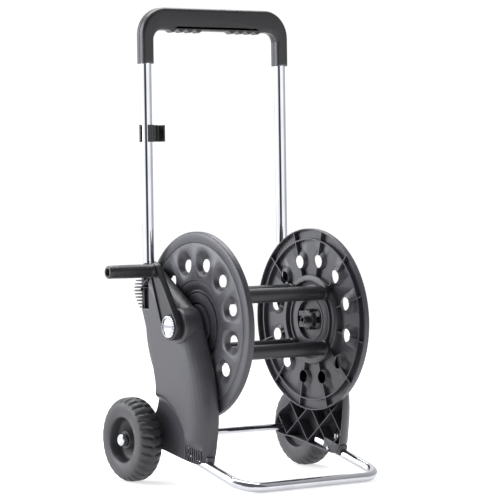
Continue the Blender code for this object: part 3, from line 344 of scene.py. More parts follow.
def turned(profile: Profile, steps: int = 64, side: Side = Side.RIGHT,
           centre: tuple[float, float] = (0.0, 0.0)) -> bmesh.types.BMesh:
    """Spin a closed outline about an axis that runs along X.

    Args:
        profile: Corners as (radius, distance from the cart's middle plane).
        steps: Facets round the axis.
        side: Which side of the cart the distances count towards.
        centre: The axis, as (Y, Z).

    Returns:
        The closed round shape.
    """
    shape = bmesh.new()
    corners = [shape.verts.new((side.value * along, 0.0, radius)) for radius, along in profile]
    for first, second in zip(corners, corners[1:] + corners[:1]):
        shape.edges.new((first, second))
    bmesh.ops.spin(shape, geom=shape.verts[:] + shape.edges[:], cent=(0, 0, 0), axis=(1, 0, 0),
                   angle=math.tau, steps=steps, use_merge=True)
    bmesh.ops.remove_doubles(shape, verts=shape.verts, dist=MERGE)
    loose = [edge for edge in shape.edges if not edge.link_faces]
    bmesh.ops.delete(shape, geom=loose, context="EDGES")
    bmesh.ops.recalc_face_normals(shape, faces=shape.faces)
    bmesh.ops.translate(shape, vec=(0.0, centre[0], centre[1]), verts=shape.verts)
    return shape


def lofted(rings: Sequence[Sequence[Vector]], capped: bool = True) -> bmesh.types.BMesh:
    """Skin a stack of closed rings that have the same number of points.

    Args:
        rings: The rings, each a list of points in the same order.
        capped: Whether the first and last ring are filled.

    Returns:
        The skinned shape.
    """
    shape = bmesh.new()
    loops = []
    for ring in rings:
        verts = [shape.verts.new(point) for point in ring]
        loops.append([shape.edges.new((a, b)) for a, b in zip(verts, verts[1:] + verts[:1])])
    for lower, upper in zip(loops, loops[1:]):
        bmesh.ops.bridge_loops(shape, edges=lower + upper)
    if capped:
        bmesh.ops.contextual_create(shape, geom=loops[0])
        bmesh.ops.contextual_create(shape, geom=loops[-1])
    bmesh.ops.recalc_face_normals(shape, faces=shape.faces)
    return shape


def swept(path: Sequence[Vector], radius: float, sides: int = 32,
          capped: bool = True) -> bmesh.types.BMesh:
    """Carry a round section along a path.

    Args:
        path: The centre line.
        radius: The section's radius.
        sides: Facets round the section.
        capped: Whether the ends are filled.

    Returns:
        The tube.
    """
    shape = bmesh.new()
    heading = (path[1] - path[0]).normalized()
    turn = Vector((0, 0, 1)).rotation_difference(heading).to_matrix().to_4x4()
    made = bmesh.ops.create_circle(shape, segments=sides, radius=radius, cap_ends=False)
    bmesh.ops.transform(shape, matrix=Matrix.Translation(path[0]) @ turn, verts=made["verts"])
    edges = shape.edges[:]
    first = edges
    for index in range(1, len(path)):
        before, after = path[index - 1], path[index]
        following = path[min(index + 1, len(path) - 1)]
        arriving = (after - before).normalized()
        leaving = (following - after).normalized() if following != after else arriving
        bisector = (arriving + leaving).normalized()
        grown = bmesh.ops.extrude_edge_only(shape, edges=edges)["geom"]
        verts = [item for item in grown if isinstance(item, bmesh.types.BMVert)]
        edges = [item for item in grown if isinstance(item, bmesh.types.BMEdge)
                 and all(v in verts for v in item.verts)]
        swing = heading.rotation_difference(bisector).to_matrix().to_4x4()
        step = Matrix.Translation(after) @ swing @ Matrix.Translation(-before)
        bmesh.ops.transform(shape, matrix=step, verts=verts)
        heading = bisector
    if capped:
        bmesh.ops.contextual_create(shape, geom=first)
        bmesh.ops.contextual_create(shape, geom=edges)
    bmesh.ops.recalc_face_normals(shape, faces=shape.faces)
    return shape


def block(low: Iterable[float], high: Iterable[float], rounding: float = 0.0,
          segments: int = 2) -> bmesh.types.BMesh:
    """A box between two corners, its edges rounded.

    Args:
        low: The lowest corner.
        high: The highest corner.
        rounding: The radius of the edges.
        segments: Facets across each rounded edge.

    Returns:
        The box.
    """
    low, high = Vector(low), Vector(high)
    shape = bmesh.new()
    bmesh.ops.create_cube(shape, size=1.0)
    bmesh.ops.scale(shape, vec=high - low, verts=shape.verts)
    bmesh.ops.translate(shape, vec=(low + high) / 2, verts=shape.verts)
    if rounding:
        bmesh.ops.bevel(shape, geom=shape.edges[:], offset=rounding, segments=segments,
                        affect="EDGES", profile=0.5, material=-1)
    return shape


def plate(outline: Sequence[Vector], reach: Vector) -> bmesh.types.BMesh:
    """Extrude a flat outline.

    Args:
        outline: The closed outline's points.
        reach: How far and which way it is extruded.

    Returns:
        The closed plate.
    """
    shape = bmesh.new()
    face = shape.faces.new([shape.verts.new(point) for point in outline])
    grown = bmesh.ops.extrude_face_region(shape, geom=[face])["geom"]
    bmesh.ops.translate(shape, vec=reach,
                        verts=[item for item in grown if isinstance(item, bmesh.types.BMVert)])
    bmesh.ops.recalc_face_normals(shape, faces=shape.faces)
    return shape


def merged(shapes: Iterable[bmesh.types.BMesh]) -> bmesh.types.BMesh:
    """Collect several shapes in one and free them.

    Args:
        shapes: The shapes. They are freed.

    Returns:
        One mesh with all of them.
    """
    whole = bmesh.new()
    for shape in shapes:
        part = bpy.data.meshes.new("part")
        shape.to_mesh(part)
        shape.free()
        whole.from_mesh(part)
        bpy.data.meshes.remove(part)
    return whole


def mirrored(shape: bmesh.types.BMesh) -> bmesh.types.BMesh:
    """A copy of a shape on the other side of the cart's middle plane.

    Args:
        shape: The shape. It is kept.

    Returns:
        The copy, its faces turned outwards again.
    """
    twin = shape.copy()
    bmesh.ops.scale(twin, vec=(-1, 1, 1), verts=twin.verts)
    bmesh.ops.reverse_faces(twin, faces=twin.faces)
    return twin


def combined(shape: bmesh.types.BMesh, others: Iterable[bmesh.types.BMesh],
             operation: str) -> bmesh.types.BMesh:
    """Join other shapes to one, or cut them out of it, with an exact Boolean.

    Args:
        shape: The shape that is changed. It is freed.
        others: The shapes that are joined or cut out. They are freed.
        operation: UNION, DIFFERENCE or INTERSECT.

    Returns:
        The result.
    """
    base = mesh_object("base", shape)
    tools = []
    for index, other in enumerate(others):
        tool = mesh_object("tool", other)
        tools.append(tool)
        change = base.modifiers.new("change_%d" % index, "BOOLEAN")
        change.operation = operation
        change.object = tool
        change.solver = "EXACT"
    graph = bpy.context.evaluated_depsgraph_get()
    graph.update()
    mesh = bpy.data.meshes.new_from_object(base.evaluated_get(graph))
    result = bmesh.new()
    result.from_mesh(mesh)
    bpy.data.meshes.remove(mesh)
    for item in tools + [base]:
        bpy.data.objects.remove(item, do_unlink=True)
    bmesh.ops.remove_doubles(result, verts=result.verts, dist=MERGE / 5)
    return result


def mesh_object(name: str, shape: bmesh.types.BMesh) -> bpy.types.Object:
    """Put a shape in the scene as it stands and free it.

    Args:
        name: The object's name.
        shape: The shape. It is freed.

    Returns:
        The object.
    """
    mesh = bpy.data.meshes.new(name)
    shape.to_mesh(mesh)
    shape.free()
    item = bpy.data.objects.new(name, mesh)
    bpy.context.scene.collection.objects.link(item)
    return item


def arc(centre: tuple[float, float], radius: float, start: float, end: float,
        steps: int) -> list[Vector]:
    """Points along an arc.

    Args:
        centre: The arc's centre in its plane.
        radius: The arc's radius.
        start: First angle in degrees.
        end: Last angle in degrees.
        steps: Number of steps.

    Returns:
        The points in the plane.
    """
    angles = [math.radians(start + (end - start) * step / steps) for step in range(steps + 1)]
    return [Vector((centre[0] + radius * math.cos(a), centre[1] + radius * math.sin(a)))
            for a in angles]


def smooth_ring(anchors: Sequence[Vector], steps: int) -> list[Vector]:
    """A closed Catmull-Rom curve through the anchors.

    Args:
        anchors: The points it passes.
        steps: Points for each stretch between two anchors.

    Returns:
        The curve's points.
    """
    ring = []
    count = len(anchors)
    for index in range(count):
        a, b, c, d = (anchors[(index + shift) % count] for shift in (-1, 0, 1, 2))
        for step in range(steps):
            t = step / steps
            ring.append(0.5 * ((2 * b) + (c - a) * t + (2 * a - 5 * b + 4 * c - d) * t * t
                               + (3 * b - a - 3 * c + d) * t * t * t))
    return ring


def inset_ring(points: Sequence[Vector], distance: float) -> list[Vector]:
    """Move a closed outline, listed anticlockwise, inwards.

    Args:
        points: The outline.
        distance: How far inwards. A negative distance grows the outline.

    Returns:
        The moved outline.
    """
    moved = []
    for index, here in enumerate(points):
        before = (here - points[index - 1]).normalized()
        after = (points[(index + 1) % len(points)] - here).normalized()
        left_before = Vector((-before.y, before.x))
        left_after = Vector((-after.y, after.x))
        mitre = (left_before + left_after).normalized()
        moved.append(here + mitre * distance / max(0.5, mitre.dot(left_before)))
    return moved


def ease(value: float, low: float, high: float) -> float:
    """Rise smoothly from 0 at low to 1 at high."""
    share = min(1.0, max(0.0, (value - low) / (high - low)))
    return share * share * (3 - 2 * share)


class Workshop:
    """Turns shapes into finished pieces of the cart."""

    def __init__(self, layout: Layout) -> None:
        """Build the finishes.

        Args:
            layout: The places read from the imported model.
        """
        self.layout = layout
        self.finishes = {slot: finish.build() for slot, finish in FINISHES.items()}
        self.count = 0

    def piece(self, name: str, shape: bmesh.types.BMesh, slot: Slot, body: str,
              replaces: Sequence[str] = (), rounding: float = 0.0,
              angle: float = 32.0) -> bpy.types.Object:
        """Finish a shape: its place, shading, material, body and the nodes it stands for.

        Args:
            name: The piece's name.
            shape: The shape in the cart's own axes. It is freed.
            slot: The material slot.
            body: The body that the piece rides on.
            replaces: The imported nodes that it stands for.
            rounding: The width of a live bevel on its sharp edges.
            angle: Edges sharper than this, in degrees, stay crisp.

        Returns:
            The finished object.
        """
        bmesh.ops.translate(shape, vec=self.layout.origin, verts=shape.verts)
        item = mesh_object(name, shape)
        item.data.materials.append(self.finishes[slot])
        if rounding:
            bevel = item.modifiers.new("rounding", "BEVEL")
            bevel.width = rounding
            bevel.segments = 2
            bevel.limit_method = "ANGLE"
            bevel.angle_limit = math.radians(angle)
        item.data.shade_smooth()
        item.data.set_sharp_from_angle(angle=math.radians(angle))
        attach(item, body)
        if replaces:
            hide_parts(*replaces)
        self.count += 1
        LOG.info("%s on %s, %d faces", name, body, len(item.data.polygons))
        return item

    def thicken(self, item: bpy.types.Object, wall: float) -> None:
        """Give an open skin a live wall that grows inwards.

        Args:
            item: The piece.
            wall: The thickness of the wall.
        """
        change = item.modifiers.new("wall", "SOLIDIFY")
        change.thickness = wall
        change.offset = -1.0

    def dress_nodes(self, frame: dict[str, Any]) -> None:
        """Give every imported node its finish, by the slot that the record names for it.

        Args:
            frame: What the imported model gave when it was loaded.
        """
        chosen = {}
        for part in frame["record"].get("subparts", []):
            chosen[part.get("node")] = part.get("material_slot")
        for name, item in frame["nodes"].items():
            slot = next((s for s in Slot if s.value == chosen.get(name)), guess_slot(name))
            item.data.materials.clear()
            item.data.materials.append(self.finishes[slot])


def guess_slot(name: str) -> Slot:
    """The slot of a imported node, from what it is.

    Args:
        name: The node's name.

    Returns:
        The slot.
    """
    rules = ((("tube",), Slot.CHROME), (("cap", "screw", "pin"), Slot.ZINC),
             (("seal",), Slot.RUBBER), (("panel", "flange"), Slot.PANEL))
    for words, slot in rules:
        if any(word in name for word in words):
            return slot
    if name.startswith("wheel_") and "bush" not in name:
        return Slot.WHEEL
    return Slot.BLACK


# ---------------------------------------------------------------- tubes and grip


@dataclass
class TubeFrame:
    """The chromed handle bow and the foot tube."""

    shop: Workshop
    wall: float = 0.0012
    bow_bend: float = 0.043
    foot_bend: float = 0.045
    foot_exit_ahead: float = 0.068
    foot_exit_height: float = 0.040
    foot_insertion: float = 0.090
    bend_steps: int = 20
    end_ring: float = 0.01          # share of a straight run; keeps the mirror true at open ends

    def bow_path(self) -> list[Vector]:
        """The handle bow's centre line.

        Returns:
            The points from the left foot of the bow to its right foot.
        """
        at = self.shop.layout
        straight = at.half_bow - self.bow_bend
        shoulder = at.bow_top - self.bow_bend
        left = arc((-straight, shoulder), self.bow_bend, 180, 90, self.bend_steps)
        right = arc((straight, shoulder), self.bow_bend, 90, 0, self.bend_steps)
        flat = [Vector((-at.half_bow, at.bow_foot)), *left, *right,
                Vector((at.half_bow, at.bow_foot))]
        return [Vector((p.x, at.bow_back, p.y)) for p in flat]

    def foot_run(self) -> tuple[float, float]:
        """The foot tube's slope down to its front bar, and its length from panel to bar.

        Returns:
            The slope in radians and the length.
        """
        at = self.shop.layout
        ahead = -at.foot_front - at.foot_radius
        slope = math.atan2(self.foot_exit_height - at.foot_radius, ahead - self.foot_exit_ahead)
        return slope, (ahead - self.foot_exit_ahead) / math.cos(slope)

    def foot_path(self) -> list[Vector]:
        """The foot tube's centre line, sloping down to its front bar.

        Returns:
            The points from the left panel to the right panel.
        """
        at = self.shop.layout
        slope, run = self.foot_run()
        straight = at.half_bow - self.foot_bend
        corner = run - self.foot_bend
        left = arc((-straight, corner), self.foot_bend, 180, 90, self.bend_steps)
        right = arc((straight, corner), self.foot_bend, 90, 0, self.bend_steps)
        flat = [Vector((-at.half_bow, -self.foot_insertion)), *left, *right,
                Vector((at.half_bow, -self.foot_insertion))]
        return [Vector((p.x, -self.foot_exit_ahead - p.y * math.cos(slope),
                        self.foot_exit_height - p.y * math.sin(slope))) for p in flat]

    def tube(self, name: str, path: Sequence[Vector], radius: float) -> None:
        """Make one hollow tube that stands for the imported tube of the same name.

        Args:
            name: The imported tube's name.
            path: The centre line.
            radius: The tube's radius.
        """
        ends = (path[0].lerp(path[1], self.end_ring), path[-1].lerp(path[-2], self.end_ring))
        shape = swept([path[0], ends[0], *path[1:-1], ends[1], path[-1]], radius, 40,
                      capped=False)
        item = self.shop.piece(name + "_skin", shape, Slot.CHROME, "frame", [name])
        self.shop.thicken(item, self.wall)

    def build(self) -> None:
        """Make both tubes."""
        at = self.shop.layout
        self.tube("handle_bow_tube", self.bow_path(), at.bow_radius)
        self.tube("foot_tube", self.foot_path(), at.foot_radius)


@dataclass
class BowGrip:
    """The moulded grip round the bow's top, in two shells with a scalloped underside."""

    shop: Workshop
    sleeve_wall: float = 0.002
    corner_radius: float = 0.054
    inner_radius: float = 0.020
    edge_round: float = 0.0075
    under_drop: float = 0.0235
    scallop_pitch: float = 0.020
    scallop_depth: float = 0.0042
    scallops_each_side: int = 4
    scallop_start: float = 0.030
    scallop_steps: int = 10
    side_steps: int = 6
    seam: float = 0.0005
    edge_steps: int = 7

    def outline(self) -> list[Vector]:
        """The grip seen from the front, anticlockwise.

        Returns:
            The points as (X, Z).
        """
        at = self.shop.layout
        sleeve = at.bow_radius + self.sleeve_wall
        outer, inner = at.half_bow + sleeve, at.half_bow - sleeve
        end, top = at.grip_bottom, at.grip_top
        under = at.bow_top - self.under_drop + self.scallop_depth / 2
        side = [Vector((outer, end + (top - self.corner_radius - end) * step / self.side_steps))
                for step in range(self.side_steps)]
        half = [Vector((inner, end))] + side
        half += arc((outer - self.corner_radius, top - self.corner_radius),
                    self.corner_radius, 0, 90, 18)
        half += [Vector((-p.x, p.y)) for p in reversed(half)]
        underside = arc((-inner + self.inner_radius, under - self.inner_radius),
                        self.inner_radius, 180, 90, 12)
        reach = self.scallop_start + self.scallop_pitch * self.scallops_each_side
        per = self.scallop_steps
        for step in range(self.scallops_each_side * per + 1):
            wave = math.cos(math.tau * step / per)
            underside.append(Vector((-reach + step * self.scallop_pitch / per,
                                     under - self.scallop_depth / 2 * (1 - wave))))
        underside += [Vector((-p.x, p.y)) for p in reversed(underside)]
        return half + underside

    def shell(self, facing: int) -> bmesh.types.BMesh:
        """One shell: the front for -1, the rear for 1.

        Args:
            facing: -1 for the front shell, 1 for the rear one.

        Returns:
            The closed shape.
        """
        at = self.shop.layout
        outline = self.outline()
        rings = [(self.seam, self.seam / 2), (0.0, self.seam * 1.6)]
        for step in range(self.edge_steps + 1):
            angle = math.pi / 2 * step / self.edge_steps
            rings.append((self.edge_round * (1 - math.cos(angle)),
                          at.grip_half_depth - self.edge_round * (1 - math.sin(angle))))
        return lofted([[Vector((p.x, at.bow_back + facing * depth, p.y))
                        for p in inset_ring(outline, inset)] for inset, depth in rings])

    def build(self, path: Sequence[Vector]) -> None:
        """Make both shells.

        Args:
            path: The bow's centre line, which the shells are hollowed along.
        """
        radius = self.shop.layout.bow_radius + AIR
        for name, facing in (("grip_front_shell", -1), ("grip_rear_shell", 1)):
            shape = combined(self.shell(facing), [swept(path, radius)], "DIFFERENCE")
            self.shop.piece(name + "_skin", shape, Slot.BLACK, "frame", [name], angle=40.0)


# ---------------------------------------------------------------- side panels

HUB, BOW, AXLE, FOOT = "hub", "bow", "axle", "foot"
# Each row is a point of the panel's edge and the matching point of its flat outer face,
# both measured back and up from the piece they belong to.
PANEL_SHAPE = (
    (BOW, (-0.008, 0.118), (-0.016, 0.103)),
    (HUB, (0.075, 0.087), (0.084, 0.060)),
    (HUB, (0.007, 0.043), (0.042, 0.010)),
    (HUB, (-0.026, 0.018), (0.020, -0.012)),
    (HUB, (-0.050, -0.034), (0.001, -0.056)),
    (HUB, (-0.074, -0.102), (-0.018, -0.114)),
    (HUB, (-0.082, -0.164), (-0.028, -0.166)),
    (FOOT, (-0.0075, 0.047), (0.038, 0.052)),
    (FOOT, (0.004, 0.012), (0.034, 0.024)),
    (FOOT, (0.032, 0.002), (0.046, 0.014)),
    (FOOT, (0.145, 0.021), (0.145, 0.031)),
    (AXLE, (0.012, -0.014), (0.006, -0.006)),
    (AXLE, (0.020, 0.004), (0.012, 0.004)),
    (AXLE, (0.006, 0.030), (-0.002, 0.022)),
    (AXLE, (-0.032, 0.056), (-0.040, 0.052)),
    (HUB, (0.084, -0.122), (0.075, -0.122)),
    (HUB, (0.092, -0.082), (0.082, -0.082)),
    (HUB, (0.112, -0.016), (0.102, -0.014)),
    (BOW, (0.004, 0.034), (-0.012, 0.038)),
    (BOW, (0.012, 0.070), (-0.006, 0.070)),
    (BOW, (0.004, 0.112), (-0.008, 0.099)),
)
# The step behind the wheel: its upper and front edge, then round outside the panel.
RECESS_EDGE = (
    (HUB, (0.130, -0.126)),
    (HUB, (0.050, -0.142)),
    (HUB, (0.015, -0.164)),
    (FOOT, (0.058, 0.068)),
    (FOOT, (0.050, 0.044)),
    (FOOT, (-0.030, 0.040)),
    (FOOT, (-0.030, -0.040)),
    (AXLE, (0.060, -0.080)),
    (AXLE, (0.060, 0.050)),
)


@dataclass
class SidePanels:
    """The two moulded side panels: crowned skins, ribbed housings, bosses and inner ribs."""

    shop: Workshop
    depth: float = 0.0385
    wall: float = 0.0026
    rim_height: float = 0.004       # where the crown starts to round over
    recess_depth: float = 0.0125
    recess_fillet: float = 0.016
    cell: float = 0.0045
    crown_steps: int = 9
    hub_boss_radius: float = 0.034
    hub_boss_overlap: float = 0.006
    hub_bore: float = 0.0133
    axle_opening: float = 0.010
    fin_top: float = 0.0885         # above the hub
    fin_pitch: float = 0.0064
    fin_height: float = 0.0020
    fin_radius: float = 0.029
    fin_swell: tuple[float, ...] = (0.78, 0.88, 0.95, 1.0, 1.0, 0.97, 0.92, 0.85, 0.76, 0.66)
    deep_fins: int = 4              # the top fins, which go round the upright's front
    deep_front: float = -100.0
    fin_front: float = -38.0
    fin_back: float = 118.0
    sleeve_front: float = -52.0
    spine_angle: float = -35.6
    spine_half: float = 0.0009
    housing_reach: tuple[float, float] = (0.037, 0.060)
    window_slots: int = 8
    slot_pitch: float = 0.0074
    slot_width: float = 0.0048
    slot_growth: float = 0.0009
    lattice_middle: tuple[float, float] = (0.02, 0.20)
    lattice_slants: tuple[float, float] = (52.0, -38.0)
    lattice_half: float = 0.32
    lattice_each_way: int = 5
    lattice_pitch: float = 0.050
    lattice_rib: float = 0.0018
    foot_wall: float = 0.0028

    def anchors(self) -> dict[str, Vector]:
        """The points that the outline is measured from, as (Y, Z).

        Returns:
            Each anchor by its name.
        """
        at = self.shop.layout
        tubes = TubeFrame(self.shop)
        return {HUB: Vector((0.0, at.hub)), BOW: Vector((at.bow_back, at.hub)),
                AXLE: Vector((at.axle_back, at.wheel_radius)),
                FOOT: Vector((-tubes.foot_exit_ahead, tubes.foot_exit_height))}

    def recess_corners(self) -> list[Vector]:
        """The corners of the step behind the wheel, as (Y, Z)."""
        anchor = self.anchors()
        return [anchor[key] + Vector(place) for key, place in RECESS_EDGE]

    def outlines(self, steps: int) -> tuple[list[Vector], list[Vector]]:
        """The panel's edge and the outline of its flat outer face, anticlockwise.

        Args:
            steps: Points for each stretch between two anchors.

        Returns:
            Both outlines as (Y, Z), with the same number of points.
        """
        anchor = self.anchors()
        edge = smooth_ring([anchor[key] + Vector(place) for key, place, _ in PANEL_SHAPE], steps)
        crest = smooth_ring([anchor[key] + Vector(place) for key, _, place in PANEL_SHAPE], steps)
        return edge, crest

    def recess_share(self, place: Vector, edge: Sequence[Vector]) -> float:
        """How far a point lies in the step behind the wheel, from 0 to 1.

        Args:
            place: The point as (Y, Z).
            edge: The corners of the stepped area.

        Returns:
            0 well outside, 1 well inside, with a soft fillet between.
        """
        nearest = 1.0
        inside = False
        for a, b in zip(edge, list(edge[1:]) + [edge[0]]):
            run = b - a
            t = min(1.0, max(0.0, (place - a).dot(run) / run.length_squared))
            nearest = min(nearest, (place - a - run * t).length)
            if (a.y > place.y) != (b.y > place.y):
                if place.x < a.x + run.x * (place.y - a.y) / run.y:
                    inside = not inside
        distance = nearest if inside else -nearest
        return ease(distance, -self.recess_fillet * 0.35, self.recess_fillet * 0.65)

    def skin(self) -> bmesh.types.BMesh:
        """The right-hand panel's outer skin as an open surface.

        Returns:
            The skin, which gets its wall from a live modifier.
        """
        at = self.shop.layout
        edge, crest = self.outlines(8)
        outer = at.panel_inner + self.depth
        shape = self.crowned(edge, crest, at.panel_inner, outer, self.crown_steps)
        open_back = [f for f in shape.faces if all(abs(v.co.x - at.panel_inner) < MERGE
                                                   for v in f.verts)]
        bmesh.ops.delete(shape, geom=open_back, context="FACES")
        self.grid_cut(shape)
        self.step_in(shape, outer - self.recess_depth)
        for low, high in self.openings():
            self.punch(shape, low, high)
        self.drill(shape, Vector((0.0, at.hub)), self.hub_boss_radius - self.hub_boss_overlap)
        self.drill(shape, Vector((at.axle_back, at.wheel_radius)), self.axle_opening)
        return shape

    def crowned(self, edge: Sequence[Vector], crest: Sequence[Vector], start: float,
                outer: float, steps: int) -> bmesh.types.BMesh:
        """A closed body whose sides round over from an edge to a flat crest.

        Args:
            edge: The outline at the panel's open back, as (Y, Z).
            crest: The outline of the flat outer face, as (Y, Z).
            start: The back's distance from the cart's middle plane.
            outer: The outer face's distance from the cart's middle plane.
            steps: Facets up the rounded side.

        Returns:
            The body.
        """
        foot = self.shop.layout.panel_inner + self.rim_height
        rings = [[Vector((start, p.x, p.y)) for p in edge]]
        for step in range(steps + 1):
            angle = math.pi / 2 * step / steps
            share = 1 - math.cos(angle)
            height = foot + (outer - foot) * math.sin(angle)
            rings.append([Vector((height, *(a + (b - a) * share))) for a, b in zip(edge, crest)])
        return lofted(rings)

    def punch(self, shape: bmesh.types.BMesh, low: Vector, high: Vector) -> None:
        """Cut a square opening in a skin, by its two corners.

        Args:
            shape: The skin.
            low: The opening's lowest corner.
            high: The opening's highest corner.
        """
        margin = 0.02
        for axis in (Vector((1, 0, 0)), Vector((0, 1, 0)), Vector((0, 0, 1))):
            for corner in (low, high):
                near = [f for f in shape.faces
                        if all(low[i] - margin < f.calc_center_median()[i] < high[i] + margin
                               for i in range(3))]
                edges = {e for f in near for e in f.edges}
                verts = {v for f in near for v in f.verts}
                bmesh.ops.bisect_plane(shape, geom=list(verts) + list(edges) + near,
                                       plane_co=corner, plane_no=axis, dist=MERGE)
        inside = [f for f in shape.faces
                  if all(low[i] < f.calc_center_median()[i] < high[i] for i in range(3))]
        bmesh.ops.delete(shape, geom=inside, context="FACES")

    def drill(self, shape: bmesh.types.BMesh, centre: Vector, radius: float) -> None:
        """Open a skin round an axis; the edge of the hole lies hidden under a boss.

        Args:
            shape: The skin.
            centre: The axis, as (Y, Z).
            radius: Faces nearer than this to the axis go.
        """
        inside = [f for f in shape.faces
                  if (f.calc_center_median().yz - centre).length < radius]
        bmesh.ops.delete(shape, geom=inside, context="FACES")

    def grid_cut(self, shape: bmesh.types.BMesh) -> None:
        """Divide a skin into small cells, so that it can be shaped.

        Args:
            shape: The skin.
        """
        for axis in (Vector((0, 1, 0)), Vector((0, 0, 1))):
            reach = [v.co.dot(axis) for v in shape.verts]
            for index in range(1, int((max(reach) - min(reach)) / self.cell) + 1):
                level = min(reach) + index * self.cell
                bmesh.ops.bisect_plane(shape, geom=shape.verts[:] + shape.edges[:]
                                       + shape.faces[:], plane_co=axis * level, plane_no=axis,
                                       dist=MERGE)

    def step_in(self, shape: bmesh.types.BMesh, face: float) -> None:
        """Press the skin in behind the wheel, with a soft edge.

        Args:
            shape: The skin.
            face: The step's distance from the cart's middle plane.
        """
        edge = self.recess_corners()
        for vert in shape.verts:
            over = vert.co.x - face
            if over > 0:
                share = self.recess_share(vert.co.yz, edge)
                vert.co.x -= over * share

    def cavity(self) -> bmesh.types.BMesh:
        """The space inside the right-hand panel, which its inner ribs fill.

        Returns:
            The closed shape.
        """
        at = self.shop.layout
        edge, crest = self.outlines(2)
        edge, crest = inset_ring(edge, self.wall / 2), inset_ring(crest, self.wall / 2)
        outer = at.panel_inner + self.depth - self.wall / 2
        body = self.crowned(edge, crest, at.panel_inner + 0.0008, outer, 3)
        face = at.panel_inner + self.depth - self.recess_depth - self.wall / 2
        grown = inset_ring(self.recess_corners(), -0.004)
        step_block = lofted([[Vector((height, p.x, p.y)) for p in grown]
                             for height in (face, outer + 0.02)])
        return combined(body, [step_block], "DIFFERENCE")

    def lattice(self) -> bmesh.types.BMesh:
        """Thin ribs that cross inside the right-hand panel.

        Returns:
            The ribs, both ways.
        """
        at = self.shop.layout
        middle = Vector(self.lattice_middle)
        layers = []
        for slant in map(math.radians, self.lattice_slants):
            strips = []
            along = Vector((math.cos(slant), math.sin(slant)))
            across = Vector((-along.y, along.x)) * self.lattice_rib / 2
            for index in range(-self.lattice_each_way, self.lattice_each_way + 1):
                start = middle + Vector((-along.y, along.x)) * index * self.lattice_pitch
                low, high = start - along * self.lattice_half, start + along * self.lattice_half
                flat = [low - across, high - across, high + across, low + across]
                strips.append(plate([Vector((at.panel_inner - 0.01, p.x, p.y)) for p in flat],
                                    Vector((0.06, 0.0, 0.0))))
            layers.append(combined(self.cavity(), [merged(strips)], "INTERSECT"))
        return merged(layers)

    def fins(self) -> bmesh.types.BMesh:
        """The stack of flat fins round the right-hand upright's foot, with its sleeve.

        Returns:
            The fins, the sleeve and the web that ties them.
        """
        at = self.shop.layout
        top, low = at.hub + self.fin_top, self.lowest_fin()
        centre = Vector((at.half_bow, at.bow_back))
        near, back = at.bow_radius + 0.0008, self.fin_back
        shapes = []
        for index, swell in enumerate(self.fin_swell):
            height = top - index * self.fin_pitch
            front = self.deep_front if index < self.deep_fins else self.fin_front
            outline = arc((0, 0), self.fin_radius * swell, front, back, 28)
            outline += arc((0, 0), near, back, front, 20)
            shapes.append(plate([Vector((*(centre + p), height)) for p in outline],
                                Vector((0, 0, self.fin_height))))
        sleeve = arc((0, 0), at.bow_radius + 0.0032, self.sleeve_front, back, 20)
        sleeve += arc((0, 0), near, back, self.sleeve_front, 20)
        shapes.append(plate([Vector((*(centre + p), low)) for p in sleeve],
                            Vector((0, 0, top + self.fin_height - low))))
        shapes.append(self.spine(centre, low, top))
        return merged(shapes)

    def lowest_fin(self) -> float:
        """The height of the lowest fin of the upright's housing."""
        return (self.shop.layout.hub + self.fin_top
                - (len(self.fin_swell) - 1) * self.fin_pitch)

    def spine(self, centre: Vector, low: float, top: float) -> bmesh.types.BMesh:
        """An upright web that ties the fins together.

        Args:
            centre: The upright's axis, as (X, Y).
            low: The height of the lowest fin.
            top: The height of the highest fin.

        Returns:
            The web.
        """
        at = self.shop.layout
        turn = math.radians(self.spine_angle)
        along = Vector((math.cos(turn), math.sin(turn)))
        across = Vector((-along.y, along.x)) * self.spine_half
        near, far = at.bow_radius + 0.001, self.fin_radius * 0.93
        flat = [centre + along * near - across, centre + along * far - across,
                centre + along * far + across, centre + along * near + across]
        return plate([Vector((p.x, p.y, low)) for p in flat],
                     Vector((0, 0, top + self.fin_height - low)))

    def foot_block(self) -> bmesh.types.BMesh:
        """The square-ended housing that the foot tube comes out of, right-hand side.

        Returns:
            The closed shape.
        """
        at = self.shop.layout
        tubes = TubeFrame(self.shop)
        slope, _ = tubes.foot_run()
        width = at.foot_radius + self.foot_wall
        shape = block((-width, 0.002, -0.0025), (at.foot_radius - 0.004, 0.057, 0.0175), 0.0014)
        bmesh.ops.rotate(shape, matrix=Matrix.Rotation(slope, 3, "X"), verts=shape.verts)
        bmesh.ops.translate(shape, vec=(at.half_bow, -tubes.foot_exit_ahead,
                                        tubes.foot_exit_height), verts=shape.verts)
        bore = swept(tubes.foot_path()[-2:], at.foot_radius + AIR)
        return combined(shape, [bore], "DIFFERENCE")

    def hub_boss(self) -> bmesh.types.BMesh:
        """The round boss under the crank, right-hand side.

        Returns:
            The closed shape.
        """
        at = self.shop.layout
        outer = at.panel_inner + self.depth + 0.0006
        inner = at.panel_inner + 0.002
        radius = self.hub_boss_radius
        profile = [(self.hub_bore, inner), (radius + 0.0015, inner), (radius, outer - 0.005),
                   (radius - 0.0004, outer - 0.0028), (radius - 0.0016, outer - 0.0011),
                   (radius - 0.0034, outer - 0.0002), (radius - 0.005, outer),
                   (self.hub_bore, outer)]
        return turned(profile, 72, Side.RIGHT, (0.0, at.hub))

